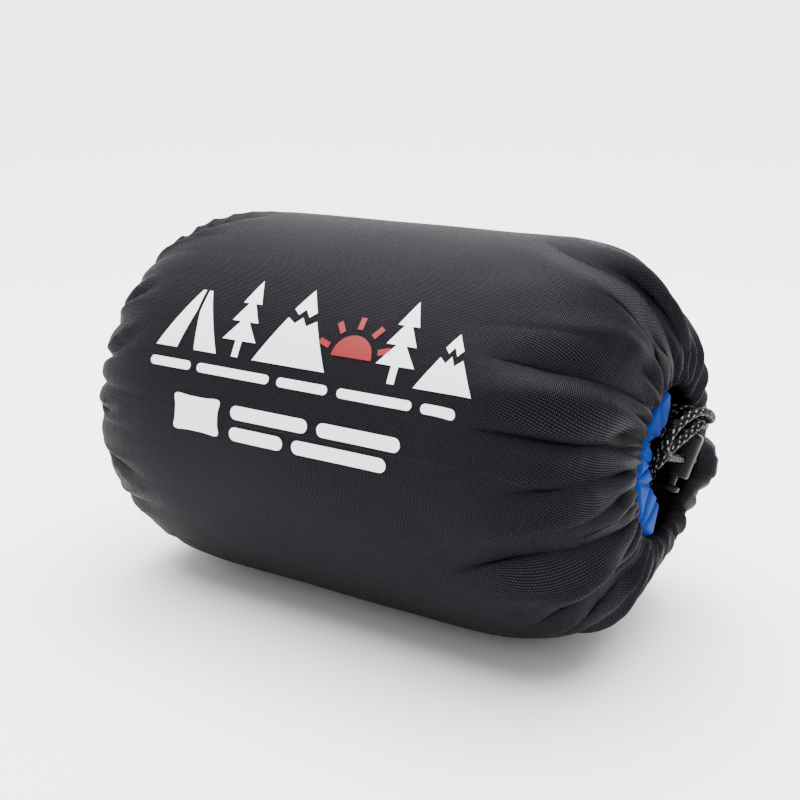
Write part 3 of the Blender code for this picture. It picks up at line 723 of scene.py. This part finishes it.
def side_flat(share_round, share_along):
    along, bead_turn, back = side_rows()
    rim = RIM_AT + BEAD_RADIUS * (bead_turn - bead_turn[0])
    flat = np.concatenate([along, rim, rim[-1] + (back[0] - back)])
    across = crowd(share_round, math.radians(30), 0.3) * SACK_RADIUS
    return np.stack([across, np.interp(share_along, np.linspace(0, 1, len(flat)), flat)], axis=1)


def make_side(material):
    rows = sum(len(part) for part in side_rows()) - 1
    bm = wrapped_grid(SIDE_COLUMNS, rows, side_points, side_flat)
    turn_outwards(bm)
    thickness = settings("sack").cloth_thickness
    return add_piece("sack_side", bm, material, "sack_tube", thickness)


def make_end(material):
    def place(share_round, share_along):
        return cloth(2 * np.pi * share_round, SEAM_AT * (share_along ** 0.8) - 0.0002 * share_along)

    def flat(share_round, share_along):
        return on_disc(share_round, SEAM_AT * share_along ** 0.8)

    bm = wrapped_grid(END_COLUMNS, 60, place, flat)
    turn_outwards(bm)
    thickness = settings("sack").cloth_thickness
    return add_piece("sack_end", bm, material, "sack_base", thickness)


def make_seam_tape(material):
    def place(share_round, share_along):
        turn = 2 * np.pi * share_along
        inset = TAPE_INSET + TAPE_HALF_THICKNESS * np.sin(turn)
        return cloth(2 * np.pi * share_round, SEAM_AT + TAPE_HALF_WIDTH * np.cos(turn), inset)

    def flat(share_round, share_along):
        return np.stack([share_round * CLOTH_WIDTH, share_along * 4 * TAPE_HALF_WIDTH], axis=1)

    bm = wrapped_grid(END_COLUMNS, 12, place, flat)
    return add_piece("base_seam_tape", bm, material, "base_binding")


def cloth_frame(angle, along, lift):
    """Place and directions on the cloth: across and outwards."""
    step = 0.0004
    spots = cloth(
        np.array([angle, angle + step / SACK_RADIUS, angle]), np.array([along, along, along + step]))
    here, across, onward = (Vector(spot) for spot in spots)
    across = (across - here).normalized()
    onward = (onward - here).normalized()
    outward = across.cross(onward).normalized()
    centre = Vector((min(here.x, MOUTH_X - 0.05), 0, AXIS_HEIGHT))
    if outward.dot(here - centre) < 0:
        outward = -outward
    return here + outward * lift, across, outward


def make_hem_stitches(material):
    """One row of lockstitches round the mouth, where the hem's inner ply ends."""
    hem_at = RIM_AT - settings("sack").hem_width
    stitch = settings("sack").stitch_length
    radius = float(np.interp(hem_at, ALONG, OUTLINE[:, 1]))
    count = round(2 * math.pi * radius / stitch)
    bm = bmesh.new()
    for i in range(count):
        angle = 2 * math.pi * i / count
        here, across, outward = cloth_frame(angle, hem_at, 0.00012)
        turn = Matrix((across, outward.cross(across), outward)).transposed().to_4x4()
        size = Matrix.Diagonal((0.40 * stitch, THREAD_HALF_WIDTH, THREAD_HALF_HEIGHT, 1.0))
        lie = Matrix.Translation(here) @ turn @ size
        bmesh.ops.create_icosphere(bm, subdivisions=1, radius=1.0, matrix=lie)
    return add_piece("hem_stitches", bm, material)


# Print on the side: outlines in millimetres, across the sack's length and up its side

def rising_sun(x, y, size):
    """Half a sun above the ground line, with five short rays."""
    turns = [math.pi * i / 30 for i in range(31)]
    shapes = [[(x + size * math.cos(turn), y + size * math.sin(turn)) for turn in turns]]
    for i in range(5):
        turn = math.pi * (i + 0.5) / 5
        way = Vector((math.cos(turn), math.sin(turn)))
        side = Vector((-way.y, way.x)) * 1.1
        near, far = Vector((x, y)) + way * size * 1.28, Vector((x, y)) + way * size * 1.85
        shapes.append([tuple(near - side), tuple(far - side), tuple(far + side), tuple(near + side)])
    return shapes


def bar(x, y, wide, high):
    half = high / 2
    ends = []
    for side, start in ((1, -90), (-1, 90)):
        for i in range(9):
            turn = math.radians(start + 22.5 * i)
            middle = x + side * (wide / 2 - half)
            ends.append((middle + half * math.cos(turn), y + half * math.sin(turn)))
    return ends


def tent(x, y, wide, high):
    """Left half, right half and the open door between them."""
    top = y + high
    door = wide * 0.14
    left = [(x - wide / 2, y), (x - door, y), (x - 0.8, y + high * 0.62), (x - 0.8, top), (x - 2.2, top)]
    right = [(2 * x - across, up) for across, up in reversed(left)]
    return [left, right]


def pine(x, y, wide, high):
    shapes = [[(x - 1.4, y), (x + 1.4, y), (x + 1.4, y + high * 0.2), (x - 1.4, y + high * 0.2)]]
    for i in range(3):
        low = y + high * (0.2 + 0.24 * i)
        half = wide / 2 * (1 - 0.22 * i)
        shapes.append([(x - half, low), (x + half, low), (x, low + high * 0.32)])
    return shapes


def mountain(x, y, wide, high):
    """A snowy peak: its cap, and its slope below a jagged gap."""
    cap_low = y + high * 0.66
    cap = [
        (x, y + high), (x - wide * 0.15, cap_low + 1.5), (x - wide * 0.07, cap_low - 0.5),
        (x, cap_low + 2.0), (x + wide * 0.08, cap_low - 1.0), (x + wide * 0.16, cap_low + 1.2)]
    slope = [
        (x - wide / 2, y), (x + wide / 2, y), (x + wide * 0.20, cap_low - 2.2),
        (x + wide * 0.08, cap_low - 4.6),
        (x, cap_low - 1.4), (x - wide * 0.08, cap_low - 4.0), (x - wide * 0.19, cap_low - 2.0)]
    return [cap, slope]


def pillow_sign(x, y, wide, high):
    """A pillow with pinched corners."""
    points = []
    for i in range(48):
        turn = 2 * math.pi * i / 48
        pinch = 1 - 0.16 * math.cos(2 * turn) ** 2
        over = wide / 2 * pinch * power_cos(turn)
        up = high / 2 * pinch * power_cos(turn - math.pi / 2)
        points.append((x + over, y + up))
    return [points]


def power_cos(turn):
    value = math.cos(turn)
    return math.copysign(abs(value) ** 0.45, value)


def print_shapes():
    main = []
    main += tent(-52, 0, 29, 24)
    main += pine(-29, 0, 15, 31)
    main += mountain(-5, 0, 32, 30)
    main += pine(38, 0, 15, 31)
    main += mountain(58, 0, 22, 21)
    rule = [bar(x, -6.0, wide, 3.4) for x, wide in ((-57.5, 20), (-28, 33), (3, 22), (33, 30), (58, 13))]
    lower = pillow_sign(-42, -23, 24, 15)
    lower += [bar(x, -19.6, wide, 5.0) for x, wide in ((-9, 34), (29, 34))]
    lower += [bar(x, -27.4, wide, 5.0) for x, wide in ((-14, 24), (21.5, 39))]
    return main + rule + lower, rising_sun(20, 6.5, 8.2)


PRINT_BASE_ANGLE = math.radians(26.5)
FILM = 0.00012
PRINT_CUT_STEP = 1.6
PRINT_CUTS = 44


def lay_print(name, shapes, material):
    """Fill each outline, cut it finely and lay it on the cloth."""
    bm = bmesh.new()
    for shape in shapes:
        bm.faces.new([bm.verts.new((x, y, 0.0)) for x, y in shape])
    for cut in range(-PRINT_CUTS, PRINT_CUTS + 1):
        for normal in ((1, 0, 0), (0, 1, 0)):
            place = Vector(normal) * (cut * PRINT_CUT_STEP + 0.03)
            geom = bm.verts[:] + bm.edges[:] + bm.faces[:]
            bmesh.ops.bisect_plane(bm, geom=geom, dist=1e-4, plane_co=place, plane_no=normal)
    bmesh.ops.triangulate(bm, faces=bm.faces[:])
    flat = np.array([vert.co[:2] for vert in bm.verts]) / 1000
    middle = float(np.interp(0.0, OUTLINE[:, 0], ALONG))
    angle = PRINT_BASE_ANGLE + flat[:, 1] / SACK_RADIUS
    along = middle + flat[:, 0]
    step = 0.0006
    here = cloth(angle, along)
    across = cloth(angle + step / SACK_RADIUS, along) - here
    onward = cloth(angle, along + step) - here
    outward = np.cross(across, onward)
    outward /= np.linalg.norm(outward, axis=1)[:, None]
    outward *= np.sign(outward[:, 1:2]) * -1
    for vert, point in zip(bm.verts, here + outward * (FILM + 0.0001)):
        vert.co = point
    bmesh.ops.recalc_face_normals(bm, faces=bm.faces[:])
    for face in bm.faces:
        if face.normal.y > 0:
            face.normal_flip()
    for edge in bm.edges:
        edge.smooth = not edge.is_boundary
    add_piece(name, bm, material, wall=FILM)


# Pillow

PILLOW_COLUMNS = 220
HALF_GAP = 0.0002
FILLING_INSET = 0.0018
SKIN_SHARE = 0.55
SKIN_END = RIM_AT - 0.006
SHADE_SHEET_REACH = 0.034
SHADE_SHEET_WALL = 0.00025


def face_x(y, z):
    """How far out the pillow's face stands in the mouth, at a place across it."""
    pocket = np.hypot(y - POCKET_AT[0], z - POCKET_AT[1]) - POCKET_FLOOR_RADIUS
    outside = ease(pocket / (POCKET_EDGE_RADIUS - POCKET_FLOOR_RADIUS))
    x = MOUTH_X - FACE_INSET - POCKET_DEPTH * (1 - outside)
    angle = np.degrees(np.arctan2(z, -y))
    radius = np.hypot(y, z)
    crest = crest_radius(angle)
    near = ease((angle + 76) / 13) * ease((96 - angle) / 12)
    near = near * ease((radius - crest + 0.0045) / 0.0045) * (1 - ease((radius - 0.0252) / 0.0036))
    return x + (MOUTH_X - FACE_INSET + BULGE_HEIGHT - x) * near


def crest_radius(angle):
    angles, radii = (np.array(column, float) for column in zip(*CREST))
    place = np.interp(angle, angles, np.arange(len(angles)))
    low = np.clip(place.astype(int), 0, len(angles) - 2)
    share = ease(place - low)
    curl = 0.5 * np.sin(np.radians(angle) * 11 + 0.6)
    return (radii[low] + (radii[low + 1] - radii[low]) * share + curl) / 1000


def blue_creases(y, z):
    angle = np.degrees(np.arctan2(z, -y))
    radius = np.hypot(y, z) * 1000
    total = np.zeros_like(y)
    for at, lean, width, depth in BLUE_CREASES:
        offset = np.radians(angle - at - lean * (radius - 20)) * radius
        total += depth / 1000 * np.clip(1 - np.abs(offset) / width, 0, 1) ** 2
    return total


def face_points(angle, radius, inset=0.0):
    """Points of the pillow's face in the mouth; it dips under the corded edge to meet the skin."""
    start = face_edge(angle, inset)
    start_radius = np.hypot(start[:, 1], start[:, 2] - AXIS_HEIGHT)
    y = -radius * np.cos(angle)
    z = radius * np.sin(angle)
    x = face_x(y, z) - blue_creases(y, z) - inset
    x = start[:, 0] + (x - start[:, 0]) * ease((start_radius - radius) / 0.0022)
    return np.stack([x, y, z + AXIS_HEIGHT], axis=1)


def face_edge(angle, inset):
    return cloth(angle, np.full(len(angle), SKIN_END), PILLOW_INSET + inset)


def pillow_points(share_round, share_along, inset=0.0):
    """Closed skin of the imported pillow: the sack's inside, then the face in the mouth."""
    angle = crowd(share_round, 0.0, 0.35)
    skin_along = SKIN_END * np.clip(share_along / SKIN_SHARE, 0, 1) ** 0.9
    skin = cloth(angle, skin_along, PILLOW_INSET + inset)
    start = face_edge(angle, inset)
    start_radius = np.hypot(start[:, 1], start[:, 2] - AXIS_HEIGHT)
    share = np.clip((share_along - SKIN_SHARE) / (1 - SKIN_SHARE), 0, 1)
    face = face_points(angle, start_radius * (1 - share), inset)
    return np.where((share_along > SKIN_SHARE)[:, None], face, skin)


def pillow_flat(share_round, share_along):
    return np.stack([share_round * CLOTH_WIDTH, share_along * 0.3], axis=1)


def make_pillow_half(name, side, node, material):
    bm = wrapped_grid(PILLOW_COLUMNS, 150, pillow_points, pillow_flat, cap=True)
    turn_outwards(bm)
    geom = bm.verts[:] + bm.edges[:] + bm.faces[:]
    bmesh.ops.bisect_plane(
        bm, geom=geom, dist=1e-6, plane_co=(0, side * HALF_GAP, 0), plane_no=(0, side, 0),
        clear_inner=True)
    thickness = settings("packed_pillow").shell_thickness
    piece = add_piece(name, bm, material, node, thickness)


def make_filling(material):
    def place(share_round, share_along):
        return pillow_points(share_round, share_along, FILLING_INSET)

    bm = wrapped_grid(PILLOW_COLUMNS, 120, place, pillow_flat, cap=True)
    piece = add_piece("pillow_filling", bm, material, "pillow_fill")


def make_painted_shade_sheet(material):
    """A sheet of the sack's cloth at half its brightness, laid into the pocket behind the cord lock:
    painted shade over the pocket.
    """
    def place(share_round, share_along):
        angle = 2 * np.pi * share_round
        degrees = np.degrees(wrap(angle))
        near = ease((degrees + 80) / 12) * ease((97 - degrees) / 12)
        start = face_edge(angle, 0.0)
        far = np.hypot(start[:, 1], start[:, 2] - AXIS_HEIGHT) - 0.0006
        radius = (far + (crest_radius(degrees) - 0.0020 - far) * near) * share_along
        points = face_points(angle, radius + 0.0005)
        points[:, 1] = -radius * np.cos(angle)
        points[:, 2] = AXIS_HEIGHT + radius * np.sin(angle)
        puckers = 0.0007 * gathers(angle, 31, 2.9) * ease(share_along / 0.3 - 2)
        rough = 0.00012 * gathers(angle, 23, 0.7) + puckers
        points[:, 0] += 0.00035 + rough * (1 - near)
        return points

    def flat(share_round, share_along):
        return on_disc(share_round, SHADE_SHEET_REACH * share_along)

    bm = wrapped_grid(180, 60, place, flat)
    turn_outwards(bm)
    return add_piece("painted_shade_sheet", bm, material, wall=SHADE_SHEET_WALL)


# Drawcord

def lock_point(way, out):
    return MOUTH + LOCK_AT + CORD_WAY * way + LOCK_OUT * out


def channel_point(angle):
    return MOUTH + Vector((CHANNEL_X, math.cos(angle) * RING_RADIUS, math.sin(angle) * RING_RADIUS))


def coil_points(coil):
    """Spare cord: a spiral that drops to the pocket's floor and rises again to the knot."""
    start_radius, end_radius, start_angle, end_angle = coil
    points = []
    for i in range(COIL_POINTS):
        share = i / (COIL_POINTS - 1)
        radius = start_radius + (end_radius - start_radius) * share
        angle = start_angle + (end_angle - start_angle) * share
        x = COIL_TOP + (COIL_BOTTOM - COIL_TOP) * float(ease(share / COIL_DROP))
        x += (COIL_END - COIL_BOTTOM) * float(ease((share - COIL_RISE) / (1 - COIL_RISE)))
        points.append(MOUTH + Vector((
            x, POCKET_AT[0] + math.cos(angle) * radius, POCKET_AT[1] + math.sin(angle) * radius)))
    return points


def strand_points(from_channel, over_lock, coil, side):
    points = [MOUTH + Vector(point) for point in from_channel]
    points += [lock_point(way, side * STRAND_PITCH / 2) for way in STRAIGHT_STRETCH]
    points += [MOUTH + Vector(point) for point in over_lock]
    return points + coil_points(coil)


def cord_route():
    """Knot, outer strand, once round the channel, inner strand, knot."""
    outer = strand_points(OUTER_FROM_CHANNEL, OUTER_OVER_LOCK, OUTER_COIL, 1)
    inner = strand_points(INNER_FROM_CHANNEL, INNER_OVER_LOCK, INNER_COIL, -1)
    start = SLIT_ANGLE + math.asin(SLIT_LENGTH / 2 / RING_RADIUS) + RING_START_CLEARANCE
    sweep = 2 * math.pi - 2 * (start - SLIT_ANGLE)
    ring = [channel_point(start + sweep * i / RING_STEPS) for i in range(RING_STEPS + 1)]
    return outer[::-1] + ring + inner


def smooth_through(points, per_span=10):
    """A centripetal Catmull-Rom curve through the points, as a dense line."""
    ends = [points[0] * 2 - points[1]] + points + [points[-1] * 2 - points[-2]]
    line = []
    for p0, p1, p2, p3 in zip(ends, ends[1:], ends[2:], ends[3:]):
        t1 = math.sqrt((p1 - p0).length)
        t2 = t1 + math.sqrt((p2 - p1).length)
        t3 = t2 + math.sqrt((p3 - p2).length)
        for i in range(per_span):
            t = t1 + (t2 - t1) * i / per_span
            a1 = p0 * ((t1 - t) / t1) + p1 * (t / t1)
            a2 = p1 * ((t2 - t) / (t2 - t1)) + p2 * ((t - t1) / (t2 - t1))
            a3 = p2 * ((t3 - t) / (t3 - t2)) + p3 * ((t - t2) / (t3 - t2))
            b1 = a1 * ((t2 - t) / t2) + a2 * (t / t2)
            b2 = a2 * ((t3 - t) / (t3 - t1)) + a3 * ((t - t1) / (t3 - t1))
            line.append(b1 * ((t2 - t) / (t2 - t1)) + b2 * ((t - t1) / (t2 - t1)))
    return line + [points[-1]]


def even_line(points, step):
    """Even points along a smooth line, as an array."""
    dense = np.array([tuple(point) for point in points])
    length = running_length(dense)
    places = np.linspace(0, length[-1], round(length[-1] / step) + 1)
    return np.stack([np.interp(places, length, dense[:, i]) for i in range(3)], axis=1), places


def carried_frames(line):
    """Two directions square to the line at each point, carried along it without twist."""
    ahead = np.gradient(line, axis=0)
    ahead /= np.linalg.norm(ahead, axis=1)[:, None]
    first = np.cross(ahead[0], (0.0, 0.3, 1.0))
    sides = [first / np.linalg.norm(first)]
    for direction in ahead[1:]:
        side = sides[-1] - direction * np.dot(sides[-1], direction)
        sides.append(side / np.linalg.norm(side))
    sides = np.array(sides)
    return sides, np.cross(ahead, sides)


def braided_tube(points, diameter, step, sides, relief):
    """A round braid of eight strands each way, that go over and under each other."""
    line, places = even_line(points, step)
    first, second = carried_frames(line)

    def place(share_round, share_along):
        index = np.rint(share_along * (len(line) - 1)).astype(int)
        turn = 2 * np.pi * share_round
        slant = places[index] * np.pi / BRAID_PITCH * BRAID_STRANDS / 2
        one = np.sin(BRAID_STRANDS / 2 * turn + slant)
        other = np.sin(BRAID_STRANDS / 2 * turn - slant)
        height = np.where(one * other > 0, np.abs(one), np.abs(other)) - 0.6
        radius = diameter / 2 - relief * 0.4 + relief * height
        side = first[index] * np.cos(turn)[:, None] + second[index] * np.sin(turn)[:, None]
        return line[index] + side * radius[:, None]

    def flat(share_round, share_along):
        return np.stack([share_round * math.pi * diameter, share_along * places[-1]], axis=1)

    return wrapped_grid(sides, len(line) - 1, place, flat, cap=True)


def make_drawcord(material):
    cord = settings("drawcord")
    route = smooth_through(cord_route())
    bm = braided_tube(route, CORD_DIAMETER, cord.step, cord.sides, cord.relief)
    return add_piece("drawcord_braid", bm, material, "drawcord"), route


def make_end_knot(material):
    """Overhand knot that ties both ends of the cord."""
    low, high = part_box("cord_knot")
    centre = (low + high) / 2
    reach = (high.x - low.x) / 2
    turn = Matrix.Rotation(math.radians(70), 3, "Y") @ Matrix.Rotation(math.radians(25), 3, "X")
    points = []
    for i in range(73):
        t = 2 * math.pi * (i / 72) * 0.985 + 0.1
        shape = Vector((
            math.sin(t) + 2 * math.sin(2 * t), math.cos(t) - 2 * math.cos(2 * t),
            -1.25 * math.sin(3 * t)))
        points.append(centre + turn @ (shape * (reach * 0.235)))
    bm = braided_tube(points, CORD_DIAMETER * 0.82, 0.0005, 20, 0.0001)
    return add_piece("end_knot", bm, material, "cord_knot")


def squash_spring():
    """Gives the button's spring a mesh of its own."""
    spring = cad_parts["cord_lock_spring"]
    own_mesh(spring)


# Operators

class CAMP_PILLOW_OT_drawcord(bpy.types.Operator):
    """Make the braided drawcord, its end knot and the cord lock's finish"""
    bl_idname = "camp_pillow.drawcord"
    bl_label = "Drawcord and cord lock"

    def execute(self, context):
        # The light second colour is painted glints on the braid.
        material = braid("black_braid", (0.0018, 0.0018, 0.002), (0.34, 0.34, 0.35))
        cord, route = make_drawcord(material)
        knot = make_end_knot(material)
        plastic = gloss_plastic()
        finishes = {
            "cord_lock_body": plastic, "cord_lock_plunger": plastic, "cord_lock_spring": spring_steel(),
        }
        lock = [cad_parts[node] for node in finishes]
        for piece, finish in zip(lock, finishes.values()):
            for slot in piece.material_slots:
                slot.material = finish
        squash_spring()
        return {"FINISHED"}


class CAMP_PILLOW_OT_sack(bpy.types.Operator):
    """Make the gathered sack: side panel, end panel, seam tape and hem stitching"""
    bl_idname = "camp_pillow.sack"
    bl_label = "Stuff sack"

    def execute(self, context):
        colour = tuple(settings("sack").colour)
        weave = sack_cloth("charcoal_woven_nylon", colour)
        side = make_side(weave)
        end = make_end(weave)
        make_seam_tape(seam_tape())
        stitches = make_hem_stitches(thread())
        # A half-bright copy of the sack's cloth: painted shade in the pocket of the mouth.
        shade_sheet = make_painted_shade_sheet(sack_cloth("charcoal_nylon_painted_shade", shade(colour, 0.5)))
        hem = settings("sack").hem_width
        return {"FINISHED"}


class CAMP_PILLOW_OT_print(bpy.types.Operator):
    """Lay the plain camping print on the side of the sack"""
    bl_idname = "camp_pillow.side_print"
    bl_label = "Side print"

    def execute(self, context):
        white, red = print_shapes()
        sack = settings("sack")
        lay_print("side_print", white, printed_film("white_print", tuple(sack.print_colour)))
        lay_print("side_print_sun", red, printed_film("red_print", tuple(sack.sun_colour)))
        return {"FINISHED"}


class CAMP_PILLOW_OT_pillow(bpy.types.Operator):
    """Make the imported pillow: front and back shell, and the filling"""
    bl_idname = "camp_pillow.packed_pillow"
    bl_label = "Packed pillow"

    def execute(self, context):
        shell = pillow_cloth(tuple(settings("packed_pillow").colour))
        make_pillow_half("pillow_shell_front", -1, "pillow_panel_front", shell)
        make_pillow_half("pillow_shell_back", 1, "pillow_panel_back", shell)
        make_filling(filling_fibre())
        return {"FINISHED"}


def add_softbox(name, place, target, size, power):
    light = bpy.data.lights.new(name, "AREA")
    light.shape = "RECTANGLE"
    light.size, light.size_y = size
    light.energy = power
    lamp = bpy.data.objects.new(name, light)
    bpy.context.scene.collection.objects.link(lamp)
    lamp.location = place
    lamp.rotation_euler = (Vector(target) - Vector(place)).to_track_quat("-Z", "Y").to_euler()


def add_overhead_light(strength):
    """Broad even light straight down, which keeps the whole floor pale."""
    light = bpy.data.lights.new("overhead_light", "SUN")
    light.energy = strength
    light.angle = math.radians(70)
    lamp = bpy.data.objects.new("overhead_light", light)
    bpy.context.scene.collection.objects.link(lamp)


FLOOR_BEND_AT = 0.6
FLOOR_BEND_RADIUS = 2.4


def make_floor(turn):
    """A pale sheet that lies flat under the sack and rises behind it in one curve."""
    bm = bmesh.new()
    bmesh.ops.create_grid(bm, x_segments=1, y_segments=60, size=4.0)
    for vert in bm.verts:
        past = vert.co.y - FLOOR_BEND_AT
        angle = min(max(past, 0.0) / FLOOR_BEND_RADIUS, math.pi / 2)
        rise = max(past - FLOOR_BEND_RADIUS * math.pi / 2, 0.0)
        if angle > 0:
            vert.co.y = FLOOR_BEND_AT + FLOOR_BEND_RADIUS * math.sin(angle)
            vert.co.z = FLOOR_BEND_RADIUS * (1 - math.cos(angle)) + rise
    bmesh.ops.rotate(bm, cent=(0, 0, 0), matrix=Matrix.Rotation(turn, 3, "Z"), verts=bm.verts[:])
    mesh = finish_bmesh(bm, "floor")
    mesh.shade_smooth()
    return mesh


CAMERA_TURN = math.radians(32.7)
CAMERA_RISE = math.radians(16.5)
CAMERA_PLACE = (0.25169, -0.39390, 0.21718)


def camera_matrix():
    turn, rise = CAMERA_TURN, CAMERA_RISE
    back = Vector((math.sin(turn) * math.cos(rise), -math.cos(turn) * math.cos(rise), math.sin(rise)))
    right = Vector((math.cos(turn), math.sin(turn), 0.0))
    axes = Matrix((right, back.cross(right), back)).transposed().to_4x4()
    return Matrix.Translation(CAMERA_PLACE) @ axes


class CAMP_PILLOW_OT_stage(bpy.types.Operator):
    """Set up the camera, the soft studio light and the pale floor"""
    bl_idname = "camp_pillow.stage"
    bl_label = "Studio"

    def execute(self, context):
        stage = settings("studio")
        camera = bpy.data.objects.new("camera", bpy.data.cameras.new("camera"))
        context.scene.collection.objects.link(camera)
        context.scene.camera = camera
        camera.data.lens = stage.lens
        camera.data.clip_start = 0.01
        camera.matrix_world = camera_matrix()
        world = bpy.data.worlds.new("studio")
        world.use_nodes = True
        background = world.node_tree.nodes["Background"].inputs
        background["Color"].default_value = (1.0, 1.0, 1.0, 1.0)
        background["Strength"].default_value = stage.world_strength
        context.scene.world = world
        add_softbox("top_softbox", (-0.10, 0.30, 0.80), (0, 0, 0.08), (0.8, 0.4), stage.key_power)
        add_overhead_light(stage.overhead_strength)
        floor = bpy.data.objects.new("floor", make_floor(CAMERA_TURN))
        context.scene.collection.objects.link(floor)
        pale = Nodes("pale_floor", (stage.floor_tone,) * 3, 0.9)
        floor.data.materials.append(pale.material)
        return {"FINISHED"}


OPERATORS = (
    CAMP_PILLOW_OT_stage, CAMP_PILLOW_OT_drawcord, CAMP_PILLOW_OT_sack, CAMP_PILLOW_OT_print,
    CAMP_PILLOW_OT_pillow,
)


class CAMP_PILLOW_PT_panel(bpy.types.Panel):
    """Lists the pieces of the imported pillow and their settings"""
    bl_label = "Camp pillow"
    bl_space_type = "VIEW_3D"
    bl_region_type = "UI"
    bl_category = "Camp pillow"

    def draw(self, context):
        for group, cls in SETTINGS.items():
            box = self.layout.box()
            for name in cls.__annotations__:
                box.prop(settings(group), name)
        for operator in OPERATORS:
            self.layout.operator(operator.bl_idname)


def register():
    for group, cls in SETTINGS.items():
        bpy.utils.register_class(cls)
        setattr(bpy.types.Scene, "camp_pillow_" + group, PointerProperty(type=cls))
    for cls in (*OPERATORS, CAMP_PILLOW_PT_panel):
        bpy.utils.register_class(cls)


def unregister():
    for cls in (CAMP_PILLOW_PT_panel, *reversed(OPERATORS)):
        bpy.utils.unregister_class(cls)
    for group, cls in SETTINGS.items():
        delattr(bpy.types.Scene, "camp_pillow_" + group)
        bpy.utils.unregister_class(cls)


def main():
    register()
    bpy.ops.camp_pillow.stage()
    bpy.ops.camp_pillow.drawcord()
    bpy.ops.camp_pillow.sack()
    bpy.ops.camp_pillow.side_print()
    bpy.ops.camp_pillow.packed_pillow()
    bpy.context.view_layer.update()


if __name__ == "__main__":
    main()
